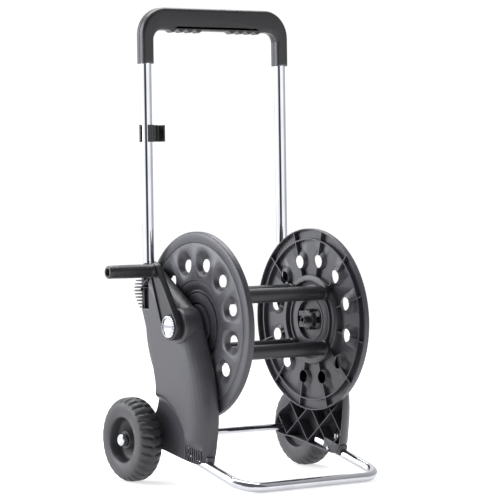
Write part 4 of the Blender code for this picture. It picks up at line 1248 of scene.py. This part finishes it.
    def openings(self) -> list[tuple[Vector, Vector]]:
        """The corners of what is cut out of the right-hand skin: housing and ribbed window.

        Returns:
            The lowest and highest corner of each opening.
        """
        at = self.shop.layout
        outer = at.panel_inner + self.depth + 0.01
        front, back = self.housing_reach
        boxes = [(Vector((at.half_bow - 0.004, at.bow_back - front, self.lowest_fin() - 0.0005)),
                  Vector((outer, at.bow_back + back, at.hub + self.fin_top + 0.003)))]
        tubes = TubeFrame(self.shop)
        for index in range(self.window_slots):
            start = -tubes.foot_exit_ahead + 0.007 + index * self.slot_pitch
            height = 0.0305 + self.slot_growth * index
            boxes.append((Vector((at.half_bow + at.foot_radius + 0.0005, start,
                                  tubes.foot_exit_height + 0.0015)),
                          Vector((outer, start + self.slot_width,
                                  tubes.foot_exit_height + height))))
        return boxes

    def build(self) -> None:
        """Make both panels and what stands in them."""
        pieces = (("panel_skin", self.skin(), 38.0), ("panel_lattice", self.lattice(), 30.0),
                  ("upright_housing", self.fins(), 30.0), ("foot_housing", self.foot_block(), 30.0),
                  ("hub_boss", self.hub_boss(), 30.0))
        for name, shape, angle in pieces:
            twin = mirrored(shape)
            for side, made in ((Side.RIGHT, shape), (Side.LEFT, twin)):
                node = [side.word + "_side_panel"] if name == "panel_skin" else []
                item = self.shop.piece(side.word + "_" + name, made, Slot.PANEL, "frame", node,
                                       angle=angle)
                if node:
                    self.shop.thicken(item, self.wall)


# ---------------------------------------------------------------- reel


@dataclass
class Reel:
    """The two flanges with their funnels and ribs, the four bars and the hub fittings."""

    shop: Workshop
    steps: int = 120
    flange_depth: float = 0.012
    web: float = 0.003
    rim_wall: float = 0.0026
    dish_radius: float = 0.0847
    dish_depth: float = 0.014
    well_radius: float = 0.040
    ring_radius: float = 0.1574
    funnel_count: int = 12
    funnel_pitch: float = 0.1226
    mouth: float = 0.0228
    throat: float = 0.0125
    throat_shift: float = 0.0061
    funnel_depth: float = 0.0095
    funnel_wall: float = 0.0016
    first_angle: float = math.radians(16.85)
    rib: float = 0.0022
    bar_radius: float = 0.014
    bar_pitch: float = 0.076
    bar_count: int = 4
    groove: float = 0.0007
    coupling_radius: float = 0.0195
    coupling_lobes: int = 10
    lobe_height: float = 0.0016
    lobe_steps: int = 12
    barb_pitch: float = 0.0042

    def body_profile(self) -> Profile:
        """A flange's turned outline, as (radius, distance from the middle plane).

        Returns:
            The corners, from the hub out along the outer face and back along the inner one.
        """
        at = self.shop.layout
        out = at.half_reel
        rim, ring = at.flange_radius, self.ring_radius
        dish, well = self.dish_radius, self.well_radius
        deep, g = self.dish_depth, self.groove
        face = [(0.0103, out - 0.001), (well - 0.002, out - 0.001), (well, out - 0.0016),
                (well + 0.0012, out - (deep - self.web))]
        for step in range(9):
            share = step / 8
            radius = well + 0.002 + (dish - 0.004 - well - 0.002) * share
            sink = (1 - share ** 2.2) * (deep - self.web)
            face.append((radius, out - max(0.0012, sink)))
        face += [(dish - 0.0012, out - 0.0010), (dish - g, out - 0.0009), (dish, out - 0.0014),
                 (dish + g, out - 0.0004), (dish + 0.0015, out)]
        face += [(ring - g - 0.0004, out), (ring - g, out - 0.0002), (ring, out - 0.0010),
                 (ring + g, out - 0.0002), (ring + g + 0.0004, out)]
        face += [(rim - 0.0052, out), (rim - 0.0026, out - 0.0004), (rim - 0.0009, out - 0.0014),
                 (rim, out - 0.0032), (rim, out - self.flange_depth + 0.0008),
                 (rim - 0.0007, out - self.flange_depth)]
        back = [(rim - self.rim_wall + 0.0005, out - self.flange_depth),
                (rim - self.rim_wall, out - self.flange_depth + 0.0008),
                (rim - self.rim_wall - 0.0006, out - self.web)]
        back += [(ring + 0.0018, out - self.web), (ring + 0.0012, out - 0.0108),
                 (ring - 0.0012, out - 0.0108), (ring - 0.0018, out - self.web)]
        back += [(dish + 0.0032, out - self.web), (dish + 0.0026, out - deep + 0.0030),
                 (dish + 0.0016, out - deep + 0.0010), (dish - 0.0002, out - deep)]
        back += [(dish - 0.0080, out - deep), (dish - 0.0090, out - deep + 0.001),
                 (dish - 0.0098, out - deep + 0.0070)]
        back += [(0.0650, out - deep + 0.0076), (0.0644, out - deep + 0.0022),
                 (0.0622, out - deep + 0.0022), (0.0616, out - deep + 0.0086)]
        back += [(well + 0.0034, out - deep + 0.0086), (well + 0.0030, out - deep + 0.0018),
                 (well - 0.0004, out - deep + 0.0018), (well - 0.0014, out - 0.001 - self.web),
                 (0.0103, out - 0.001 - self.web)]
        return face + back

    def spot(self, angle: float, radius: float) -> Vector:
        """A place on a flange by its angle from straight ahead upwards, as (Y, Z)."""
        return Vector((-radius * math.cos(angle),
                       self.shop.layout.hub + radius * math.sin(angle)))

    def funnel(self, angle: float, sections: Sequence[tuple[float, float]],
               side: Side) -> bmesh.types.BMesh:
        """A leaning round shape through a flange.

        Args:
            angle: The funnel's angle round the hub.
            sections: Each section's depth below the outer face and its radius.
            side: The flange's side.

        Returns:
            The closed shape.
        """
        rings = []
        for depth, radius in sections:
            share = min(1.15, max(0.0, depth / self.funnel_depth))
            centre = self.spot(angle, self.funnel_pitch - self.throat_shift * share)
            along = side.value * (self.shop.layout.half_reel - depth)
            rings.append([Vector((along, p.x, p.y)) for p in
                          arc((centre.x, centre.y), radius, 0, 360 - 360 / 36, 35)])
        return lofted(rings)

    def wall_radius(self, depth: float) -> float:
        """A funnel's inner radius at a depth."""
        share = depth / self.funnel_depth
        return self.mouth + (self.throat - self.mouth) * share

    def ribs(self, side: Side) -> list[bmesh.types.BMesh]:
        """Twelve radial ribs on the inner face, each in line with a funnel.

        Args:
            side: The flange's side.

        Returns:
            The ribs.
        """
        at = self.shop.layout
        shapes = []
        near, far = self.dish_radius + 0.001, at.flange_radius - self.rim_wall + 0.0005
        low, high = sorted((side.value * (at.half_reel - self.flange_depth + 0.0012),
                            side.value * (at.half_reel - self.web + 0.001)))
        for index in range(self.funnel_count):
            angle = self.first_angle + math.tau * index / self.funnel_count
            shape = block((low, near, -self.rib / 2), (high, far, self.rib / 2))
            turn = Matrix.Rotation(math.pi - angle, 3, "X")
            bmesh.ops.rotate(shape, matrix=turn, verts=shape.verts)
            bmesh.ops.translate(shape, vec=(0, 0, at.hub), verts=shape.verts)
            shapes.append(shape)
        return shapes

    def flange(self, side: Side) -> bmesh.types.BMesh:
        """One flange.

        Args:
            side: Which of the two.

        Returns:
            The closed shape.
        """
        at = self.shop.layout
        body = turned(self.body_profile(), self.steps, side, (0.0, at.hub))
        angles = [self.first_angle + math.tau * k / self.funnel_count
                  for k in range(self.funnel_count)]
        walls = []
        for angle in angles:
            depth = self.funnel_depth
            sections = [(0.0015, self.wall_radius(0.0015) + self.funnel_wall)]
            sections += [(d, self.wall_radius(d) + self.funnel_wall)
                         for d in (0.004, depth - 0.0016)]
            sections.append((depth - 0.0004, self.wall_radius(depth) + self.funnel_wall * 0.8))
            sections.append((depth, self.wall_radius(depth) + self.funnel_wall * 0.5))
            walls.append(self.funnel(angle, sections, side))
        holes = []
        for angle in angles:
            sections = [(-0.002, self.mouth + 0.0055), (0.0, self.mouth + 0.0014),
                        (0.0004, self.mouth + 0.0005), (0.0012, self.wall_radius(0.0012)),
                        (0.004, self.wall_radius(0.004)), (0.007, self.wall_radius(0.007)),
                        (self.funnel_depth - 0.0006, self.wall_radius(self.funnel_depth)),
                        (self.funnel_depth + 0.006, self.throat)]
            holes.append(self.funnel(angle, sections, side))
        shape = combined(body, [merged(self.ribs(side)), merged(walls)], "UNION")
        return combined(shape, [merged(holes)], "DIFFERENCE")

    def bar(self, index: int) -> bmesh.types.BMesh:
        """One of the four bars that the hose winds on.

        Args:
            index: The bar, from 0.

        Returns:
            The closed shape.
        """
        at = self.shop.layout
        half = at.half_reel - self.dish_depth + 0.006
        r = self.bar_radius
        collar = half - 0.0135
        profile = [(0.0, -half), (r + 0.0012, -half), (r + 0.0012, -collar - 0.001),
                   (r + 0.0004, -collar), (r, -collar + 0.0006), (r, collar - 0.0006),
                   (r + 0.0004, collar), (r + 0.0012, collar + 0.001), (r + 0.0012, half),
                   (0.0, half)]
        angle = math.tau * (index + 0.5) / self.bar_count
        place = self.spot(angle, self.bar_pitch)
        return turned(profile, 48, Side.RIGHT, (place.x, place.y))

    def coupling(self) -> bmesh.types.BMesh:
        """The hose coupling seat inside the right-hand flange: a lobed knob on a cross bar.

        Returns:
            The closed shape.
        """
        at = self.shop.layout
        face = at.half_reel - 0.001 - self.web
        steps = self.coupling_lobes * self.lobe_steps
        rings = []
        for depth, shrink in ((0.0, 0.0), (0.0115, 0.0), (0.0132, 0.0008), (0.014, 0.0026)):
            ring = []
            for step in range(steps):
                angle = math.tau * step / steps
                wave = math.cos(self.coupling_lobes * angle)
                radius = self.coupling_radius - shrink + self.lobe_height * wave
                ring.append(Vector((face - depth, radius * math.cos(angle),
                                    at.hub + radius * math.sin(angle))))
            rings.append(ring)
        bar = block((face - 0.0085, -0.0355, at.hub - 0.0165),
                    (face - 0.0002, 0.0355, at.hub + 0.0165), 0.0022)
        waist = [block((face - 0.02, sign * 0.029 - 0.0055, at.hub - 0.006),
                       (face + 0.01, sign * 0.029 + 0.0055, at.hub + 0.006))
                 for sign in (-1, 1)]
        bar = combined(bar, [merged(waist)], "DIFFERENCE")
        return combined(lofted(rings), [bar], "UNION")

    def spigot(self) -> bmesh.types.BMesh:
        """The water outlet: a stepped tube with hose barbs that stands into the drum.

        Returns:
            The closed shape.
        """
        at = self.shop.layout
        low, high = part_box("hose_outlet_spigot")
        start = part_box("water_spindle")[0].x - at.origin.x
        end = low.x - at.origin.x
        r = (high.z - low.z) / 2
        slim = r - 0.002
        profile = [(0.0045, start + 0.012), (r, start + 0.012), (r, start - 0.003)]
        along = start - 0.0045
        while along - self.barb_pitch > end:
            profile += [(slim - 0.0006, along), (slim + 0.0007, along - 0.0032)]
            along -= self.barb_pitch
        profile += [(slim, end + 0.0008), (slim - 0.0008, end), (0.0045, end)]
        return turned(profile, 40, Side.RIGHT, (0.0, at.hub))

    def build(self) -> None:
        """Make the reel."""
        for side in Side:
            name = "reel_flange_" + side.word
            self.shop.piece(name + "_skin", self.flange(side), Slot.PANEL, "reel", [name],
                            angle=36.0)
        for index in range(self.bar_count):
            name = "drum_bar_%d" % (index + 1)
            self.shop.piece(name + "_skin", self.bar(index), Slot.BLACK, "reel", [name])
        self.shop.piece("hose_coupling", self.coupling(), Slot.BLACK, "reel", angle=28.0)
        self.shop.piece("outlet_spigot_skin", self.spigot(), Slot.BLACK, "reel",
                        ["hose_outlet_spigot"])


# ---------------------------------------------------------------- crank


@dataclass
class Crank:
    """The crank arm, its bright serrated cap and the turning handle."""

    shop: Workshop
    hub_radius: float = 0.026
    tip_radius: float = 0.014
    edge: float = 0.0016
    ridge: float = 0.0034
    channel: float = 0.0030
    cap_teeth: int = 26
    grip_radius: float = 0.0128
    grip_steps: int = 12
    pin_radius: float = 0.005
    shaft_radius: float = 0.018

    def outline(self, grow: float) -> list[Vector]:
        """The arm's outline in its own plane, the tip along the first axis.

        Args:
            grow: How far the outline is moved outwards.

        Returns:
            The points.
        """
        at = self.shop.layout
        length = math.hypot(at.tip.y, at.tip.z - at.hub)
        lean = math.degrees(math.acos((self.hub_radius - self.tip_radius) / length))
        points = arc((0.0, 0.0), self.hub_radius + grow, lean, 360 - lean, 48)
        points += arc((length, 0.0), self.tip_radius + grow, -lean, lean, 28)
        return points

    def ring(self, grow: float, out: float) -> list[Vector]:
        """The arm's outline at a distance from the cart's middle plane.

        Args:
            grow: How far the outline is moved outwards.
            out: The distance.

        Returns:
            The points in the cart's axes.
        """
        at = self.shop.layout
        turn = Matrix.Rotation(math.atan2(at.tip.z - at.hub, at.tip.y), 2)
        placed = [turn @ p for p in self.outline(grow)]
        return [Vector((-out, p.x, p.y + at.hub)) for p in placed]

    def arm(self) -> bmesh.types.BMesh:
        """The arm: a lever with raised edges round a sunk channel, and a raised hub ring.

        Returns:
            The closed shape.
        """
        at = self.shop.layout
        face, e = at.arm_outer, self.edge
        stack = [self.ring(-e, at.arm_inner), self.ring(-e * 0.3, at.arm_inner + e * 0.3),
                 self.ring(0.0, at.arm_inner + e), self.ring(0.0, face - e),
                 self.ring(-e * 0.3, face - e * 0.3), self.ring(-e, face)]
        body = lofted(stack)
        dish = lofted([self.ring(-self.ridge + 0.0006, face + 0.004),
                       self.ring(-self.ridge, face - self.channel * 0.4),
                       self.ring(-self.ridge - 0.0008, face - self.channel)])
        body = combined(body, [dish], "DIFFERENCE")
        collar = turned([(0.0222, at.arm_outer - 0.006), (0.0222, at.arm_outer - 0.0004),
                         (0.0228, at.arm_outer), (0.0240, at.arm_outer),
                         (0.0246, at.arm_outer - 0.0006), (0.0246, at.arm_outer - 0.006)],
                        64, Side.LEFT, (0.0, at.hub))
        boss = turned([(0.0, at.arm_outer - 0.006), (0.0, at.arm_outer - 0.0012),
                       (0.0088, at.arm_outer - 0.0012), (0.0096, at.arm_outer - 0.002),
                       (0.0096, at.arm_outer - 0.006)], 40, Side.LEFT, (at.tip.y, at.tip.z))
        return combined(body, [collar, boss], "UNION")

    def cap(self) -> bmesh.types.BMesh:
        """The bright cap: a toothed rim, a groove and a domed middle.

        Returns:
            The closed shape.
        """
        at = self.shop.layout
        low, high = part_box("crank_cap")
        radius = (high.z - low.z) / 2
        back, top = at.origin.x - high.x, at.origin.x - low.x
        tooth = (0.0, 0.0, 0.5, 1.0, 1.0, 0.5)
        rings = []
        for out, shrink, bite in ((back, 0.0, 0.0016), (top - 0.0014, 0.0, 0.0016),
                                  (top - 0.0004, 0.0006, 0.0014), (top, 0.0018, 0.0008),
                                  (top, 0.0036, 0.0), (top - 0.0036, 0.0040, 0.0),
                                  (top - 0.0036, 0.0062, 0.0), (top - 0.0010, 0.0068, 0.0),
                                  (top - 0.0002, 0.0100, 0.0)):
            ring = []
            for step in range(len(tooth) * self.cap_teeth):
                angle = math.tau * step / (len(tooth) * self.cap_teeth)
                r = radius - shrink - bite * tooth[step % len(tooth)]
                ring.append(Vector((-out, r * math.cos(angle), at.hub + r * math.sin(angle))))
            rings.append(ring)
        return lofted(rings)

    def handle(self) -> bmesh.types.BMesh:
        """The turning handle: slightly waisted, with a collar by the arm and an open end.

        Returns:
            The closed shape.
        """
        at = self.shop.layout
        inner = at.arm_outer + AIR
        end, r = at.grip_end, self.grip_radius
        bore = self.pin_radius + AIR
        profile = [(bore, inner), (r - 0.001, inner), (r + 0.0006, inner + 0.0012),
                   (r + 0.0006, inner + 0.0045), (r - 0.0003, inner + 0.0065)]
        for step in range(self.grip_steps + 1):
            share = step / self.grip_steps
            swell = 0.0005 * math.sin(math.pi * share)
            profile.append((r - 0.0004 + swell, inner + 0.008 + (end - inner - 0.012) * share))
        profile += [(r - 0.0008, end - 0.0018), (r - 0.0018, end - 0.0005),
                    (r - 0.0032, end), (0.0078, end), (0.0070, end - 0.0006),
                    (0.0068, end - 0.010), (bore, end - 0.010)]
        return turned(profile, 56, Side.LEFT, (at.tip.y, at.tip.z))

    def pin(self) -> bmesh.types.BMesh:
        """The steel pin through the handle, its head sunk in the handle's end.

        Returns:
            The closed shape.
        """
        at = self.shop.layout
        r = self.pin_radius
        end = at.grip_end - 0.0055
        profile = [(0.0, at.arm_inner + 0.001), (r, at.arm_inner + 0.001), (r, end - 0.0008),
                   (r - 0.0008, end), (0.0, end)]
        return turned(profile, 32, Side.LEFT, (at.tip.y, at.tip.z))

    def shaft(self) -> bmesh.types.BMesh:
        """The driving shaft between the flange and the arm.

        Returns:
            The closed shape.
        """
        at = self.shop.layout
        low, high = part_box("crank_shaft")
        start, end = at.origin.x - high.x, at.origin.x - low.x - 0.003
        r = self.shaft_radius
        profile = [(0.0, start), (r - 0.0008, start), (r, start + 0.0008),
                   (r, start + 0.006), (0.010, start + 0.006), (0.010, end), (0.0, end)]
        return turned(profile, 40, Side.LEFT, (0.0, at.hub))

    def build(self) -> None:
        """Make the crank."""
        made = (("crank_arm", self.arm(), Slot.BLACK, "reel", 34.0),
                ("crank_cap", self.cap(), Slot.CHROME, "reel", 24.0),
                ("crank_shaft", self.shaft(), Slot.BLACK, "reel", 30.0),
                ("crank_pin", self.pin(), Slot.ZINC, "reel", 30.0),
                ("crank_grip", self.handle(), Slot.BLACK, "crank_handle", 30.0))
        for name, shape, slot, body, angle in made:
            self.shop.piece(name + "_skin", shape, slot, body, [name], angle=angle)


# ---------------------------------------------------------------- wheels


@dataclass
class Wheels:
    """The two blown plastic wheels with their bushes, spacers, axle and caps."""

    shop: Workshop
    lug_count: int = 30
    lug_depth: float = 0.0034
    steps: int = 240
    shoulder: float = 0.019
    rim_share: float = 0.54
    hub_radius: float = 0.0165
    bush_radius: float = 0.0130
    bore: float = 0.0073
    axle_radius: float = 0.007
    axle_wall: float = 0.0015
    axle_sunk: float = 0.004        # how far the axle tube ends inside its caps
    spacer_radius: float = 0.012
    cap_round: float = 0.0034

    def profile(self) -> Profile:
        """The wheel's outline, as (radius, distance from the cart's middle plane).

        Returns:
            The corners, from the bush's bore out over the tread and back.
        """
        at = self.shop.layout
        inner, outer = at.wheel_inner, at.wheel_outer
        width = outer - inner
        rim = at.wheel_radius * self.rim_share
        bore = self.bush_radius + AIR
        lip = outer - 0.0005
        points = [(bore, outer - 0.009), (self.hub_radius, outer - 0.009),
                  (self.hub_radius + 0.0008, outer - 0.010),
                  (self.hub_radius + 0.0026, inner + width * 0.50),
                  (self.hub_radius + 0.0045, inner + width * 0.47),
                  (rim - 0.0085, inner + width * 0.52), (rim - 0.0045, inner + width * 0.56),
                  (rim - 0.0022, inner + width * 0.66), (rim - 0.0008, lip - 0.0042),
                  (rim + 0.0006, lip - 0.0014), (rim + 0.0028, lip)]
        centre = at.wheel_radius - self.shoulder
        for step in range(1, 13):
            angle = math.radians(90 - 90 * step / 12)
            points.append((centre + self.shoulder * math.cos(angle),
                           outer - self.shoulder + self.shoulder * math.sin(angle)))
        for step in range(1, 8):
            share = step / 8
            points.append((at.wheel_radius,
                           outer - self.shoulder - (width - 2 * self.shoulder) * share))
        for step in range(13):
            angle = math.radians(-90 * step / 12)
            points.append((centre + self.shoulder * math.cos(angle),
                           inner + self.shoulder + self.shoulder * math.sin(angle)))
        points += [(rim + 0.002, inner), (rim, inner + 0.001), (rim - 0.002, inner + width * 0.26),
                   (self.hub_radius + 0.006, inner + width * 0.30),
                   (self.hub_radius + 0.003, inner + 0.0006), (self.hub_radius, inner),
                   (bore, inner)]
        return points

    def wheel(self, side: Side) -> bmesh.types.BMesh:
        """One wheel with its moulded tread.

        Args:
            side: Which of the two.

        Returns:
            The closed shape.
        """
        at = self.shop.layout
        shape = turned(self.profile(), self.steps, side)
        middle = (at.wheel_inner + at.wheel_outer) / 2
        half = (at.wheel_outer - at.wheel_inner) / 2
        for vert in shape.verts:
            radius = math.hypot(vert.co.y, vert.co.z)
            tread = ease(radius, at.wheel_radius - 0.0125, at.wheel_radius - 0.004)
            if tread <= 0:
                continue
            across = (abs(vert.co.x) - middle) / half
            angle = math.atan2(vert.co.z, vert.co.y)
            lean = 0.30 * abs(across)
            phase = (angle * self.lug_count / math.tau + lean) % 1.0
            groove = ease(1 - abs(phase - 0.5) * 2, 0.50, 0.88)
            centre_band = 1 - 0.75 * ease(1 - abs(across), 0.72, 0.92)
            sink = self.lug_depth * groove * tread * centre_band
            scale = (radius - sink) / radius
            vert.co.y *= scale
            vert.co.z *= scale
        bmesh.ops.translate(shape, vec=(0.0, at.axle_back, at.wheel_radius), verts=shape.verts)
        return shape

    def simple(self, side: Side, profile: Profile, steps: int = 40) -> bmesh.types.BMesh:
        """A turned piece on the wheels' axis."""
        at = self.shop.layout
        return turned(profile, steps, side, (at.axle_back, at.wheel_radius))

    def build(self) -> None:
        """Make the wheels and what holds them."""
        at = self.shop.layout
        bore, axle, end = self.bore, self.axle_radius, at.axle_end
        half = end - self.axle_sunk
        tube = [(axle - self.axle_wall, -half), (axle, -half), (axle, half),
                (axle - self.axle_wall, half)]
        self.shop.piece("axle_tube_skin", self.simple(Side.RIGHT, tube), Slot.CHROME, "frame",
                        ["axle_tube"])
        for side in Side:
            word = side.word
            body = word + "_wheel"
            self.shop.piece("wheel_%s_skin" % word, self.wheel(side), Slot.WHEEL, body,
                            ["wheel_" + word], angle=50.0)
            length = at.wheel_outer - 0.0068
            r = self.bush_radius
            bush = [(bore, at.wheel_inner), (r, at.wheel_inner), (r, length),
                    (r - 0.0006, length + 0.0006), (bore, length + 0.0006)]
            self.shop.piece("wheel_bush_%s_skin" % word, self.simple(side, bush), Slot.BLACK,
                            body, ["wheel_bush_" + word])
            low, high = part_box("axle_spacer_" + word)
            near, far = sorted((abs(low.x - at.origin.x), abs(high.x - at.origin.x)))
            r = self.spacer_radius
            spacer = [(bore, near), (r - 0.0008, near), (r, near + 0.0008),
                      (r, far - 0.0008), (r - 0.0008, far), (bore, far)]
            self.shop.piece("axle_spacer_%s_skin" % word, self.simple(side, spacer),
                            Slot.BLACK, "frame", ["axle_spacer_" + word])
            low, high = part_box("axle_cap_" + word)
            near = min(abs(low.x - at.origin.x), abs(high.x - at.origin.x))
            r, soft = (high.z - low.z) / 2, self.cap_round
            cap = [(bore, near), (r - 0.0006, near), (r, near + 0.0006), (r, end - soft)]
            cap += [(r - soft + soft * math.cos(math.radians(a)),
                     end - soft + soft * math.sin(math.radians(a)))
                    for a in (22, 45, 68, 90)]
            cap += [(0.0, end), (0.0, end - 0.0035), (bore, end - 0.0035)]
            self.shop.piece("axle_cap_%s_skin" % word, self.simple(side, cap), Slot.ZINC,
                            "frame", ["axle_cap_" + word])


# ---------------------------------------------------------------- studio


@dataclass(frozen=True)
class Softbox:
    """An area light, aimed at the middle of the cart."""

    name: str
    place: tuple[float, float, float]
    size: tuple[float, float]
    power: float
    colour: str = "#ffffff"


@dataclass
class Studio:
    """A pale floor, rounds of light at the horizon and above it, and two soft boxes.

    Both rounds list a bearing in degrees, left of straight ahead, with its grey level. The
    bright stretches light the side panels, and the dark ones draw lines along the chrome.
    """

    layout: Layout
    eye: tuple[float, float, float] = (-2.68362, -3.80957, 0.57335)
    right: tuple[float, float, float] = (0.8185, -0.5744, -0.0144)
    forward: tuple[float, float, float] = (0.5738, 0.8185, -0.0292)
    lens: float = 174.23
    shift: tuple[float, float] = (0.00063, 0.00427)
    target: tuple[float, float, float] = (0.0, 0.0, 0.42)
    ring_strength: float = 1.7
    blend: tuple[float, float] = (0.10, 0.22)       # heights where horizon turns into ring
    floor_radius: float = 12.0
    floor_drop: float = 0.0004
    floor_glow: float = 0.62
    ring: tuple[tuple[float, float], ...] = (
        (-180, 0.10), (-120, 0.10), (-100, 0.30), (-60, 0.36), (-16, 0.45), (-12, 0.62),
        (12, 0.62), (18, 0.55), (42, 0.85), (52, 1.0), (98, 1.0), (110, 0.30), (130, 0.10),
        (180, 0.10))
    horizon: tuple[tuple[float, float], ...] = (
        (-180, 0.04), (-172, 0.10), (-164, 0.95), (-112, 0.95), (-100, 0.50), (-24, 0.28),
        (-13, 0.62), (13, 0.62), (20, 0.40), (40, 0.70), (52, 1.0), (98, 1.0), (140, 0.95),
        (150, 0.20), (156, 0.05), (180, 0.04))
    softboxes: tuple[Softbox, ...] = (
        Softbox("back_left_box", (-2.6, 2.2, 1.6), (2.4, 2.4), 85.0, "#f4f6ff"),
        Softbox("top_box", (0.3, 0.8, 3.0), (2.4, 2.4), 110.0),
    )

    def camera(self) -> None:
        """Place the camera in front of the cart and to its left, a little above the hub."""
        data = bpy.data.cameras.new("camera")
        data.lens = self.lens
        data.sensor_width = 36.0
        data.shift_x, data.shift_y = self.shift
        data.clip_end = 100.0
        item = bpy.data.objects.new("camera", data)
        back = -Vector(self.forward).normalized()
        across = Vector(self.right).normalized()
        upright = back.cross(across).normalized()
        turn = Matrix((across, upright, back)).transposed().to_4x4()
        item.matrix_world = Matrix.Translation(Vector(self.eye) + self.layout.origin) @ turn
        bpy.context.scene.collection.objects.link(item)
        bpy.context.scene.camera = item

    def lights(self) -> None:
        """Hang the soft boxes."""
        for box in self.softboxes:
            data = bpy.data.lights.new(box.name, "AREA")
            data.shape = "RECTANGLE"
            data.size, data.size_y = box.size
            data.energy = box.power
            data.color = srgb(box.colour)[:3]
            item = bpy.data.objects.new(box.name, data)
            item.location = Vector(box.place) + self.layout.origin
            aim = Vector(self.target) + self.layout.origin - item.location
            item.rotation_euler = aim.to_track_quat("-Z", "Y").to_euler()
            bpy.context.scene.collection.objects.link(item)

    def sky(self) -> None:
        """A ring of light: white behind the cart, a bright sweep at its left, dark gaps."""
        world = bpy.data.worlds.new("studio")
        world.use_nodes = True
        tree = world.node_tree
        shader = tree.nodes["Background"]
        place = add_node(tree, "ShaderNodeTexCoord").outputs["Generated"]
        ahead = Vector(self.forward).xy.normalized()
        left = Vector((-ahead.y, ahead.x, 0.0))
        depth = add_node(tree, "ShaderNodeVectorMath", {0: place, 1: (ahead.x, ahead.y, 0.0)},
                         operation="DOT_PRODUCT")
        breadth = add_node(tree, "ShaderNodeVectorMath", {0: place, 1: tuple(left)},
                           operation="DOT_PRODUCT")
        bearing = add_node(tree, "ShaderNodeMath", {
            0: breadth.outputs["Value"], 1: depth.outputs["Value"]}, operation="ARCTAN2")
        share = add_node(tree, "ShaderNodeMapRange", {
            "Value": bearing.outputs["Value"], "From Min": -math.pi, "From Max": math.pi})
        low = add_node(tree, "ShaderNodeSeparateXYZ", {"Vector": place})
        lift = add_node(tree, "ShaderNodeMath", {0: low.outputs["Z"]}, operation="ABSOLUTE")
        above = add_node(tree, "ShaderNodeMapRange", {
            "Value": lift.outputs["Value"], "From Min": self.blend[0],
            "From Max": self.blend[1]})
        glow = add_node(tree, "ShaderNodeMix", {
            "Factor": above.outputs["Result"],
            6: self.ramp(tree, share.outputs["Result"], self.horizon),
            7: self.ramp(tree, share.outputs["Result"], self.ring)}, data_type="RGBA")
        tree.links.new(glow.outputs[2], shader.inputs["Color"])
        shader.inputs["Strength"].default_value = self.ring_strength
        bpy.context.scene.world = world

    def ramp(self, tree: bpy.types.NodeTree, share: bpy.types.NodeSocket,
             levels: Sequence[tuple[float, float]]) -> bpy.types.NodeSocket:
        """A round of grey levels.

        Args:
            tree: The world's node tree.
            share: The bearing, from 0 to 1.
            levels: Bearings in degrees, left of straight ahead, each with its level.

        Returns:
            The socket that carries the colour.
        """
        ramp = add_node(tree, "ShaderNodeValToRGB", {"Fac": share})
        stops = ramp.color_ramp.elements
        while len(stops) > 1:
            stops.remove(stops[-1])
        for index, (degrees, level) in enumerate(levels):
            stop = stops[0] if index == 0 else stops.new((degrees + 180) / 360)
            stop.position = (degrees + 180) / 360
            stop.color = (level * 0.985, level * 0.99, level, 1.0)
        return ramp.outputs["Color"]

    def floor(self) -> None:
        """Lay the pale floor."""
        shape = bmesh.new()
        bmesh.ops.create_circle(shape, segments=96, radius=self.floor_radius,
                                cap_ends=True)
        bmesh.ops.translate(shape, vec=self.layout.origin - Vector((0, 0, self.floor_drop)),
                            verts=shape.verts)
        item = mesh_object("floor", shape)
        material, tree, paper = new_material("matt_white_paper")
        fibre = add_node(tree, "ShaderNodeTexNoise", {
            "Vector": add_node(tree, "ShaderNodeTexCoord").outputs["Object"], "Scale": 4.0})
        colour = add_node(tree, "ShaderNodeMix", {
            "Factor": fibre.outputs["Fac"], 6: srgb("#cacaca"), 7: srgb("#cdcdcd")},
            data_type="RGBA")
        tree.links.new(colour.outputs[2], paper.inputs["Base Color"])
        paper.inputs["Roughness"].default_value = 0.9
        paper.inputs["Specular IOR Level"].default_value = 0.1
        paper.inputs["Emission Color"].default_value = (1, 1, 1, 1)
        paper.inputs["Emission Strength"].default_value = self.floor_glow
        item.data.materials.append(material)

    def build(self) -> None:
        """Set up the floor, light and camera."""
        self.floor()
        self.sky()
        self.lights()
        self.camera()
        bpy.context.scene.view_settings.view_transform = "Standard"


def main() -> None:
    """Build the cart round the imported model."""
    logging.basicConfig(level=logging.INFO, format="%(name)s: %(message)s")
    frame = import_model()
    layout = Layout.read()
    shop = Workshop(layout)
    Studio(layout).build()
    tubes = TubeFrame(shop)
    tubes.build()
    BowGrip(shop).build(tubes.bow_path())
    SidePanels(shop).build()
    Reel(shop).build()
    Crank(shop).build()
    Wheels(shop).build()
    shop.dress_nodes(frame)
    LOG.info("%d pieces", shop.count)


if __name__ == "__main__":
    main()
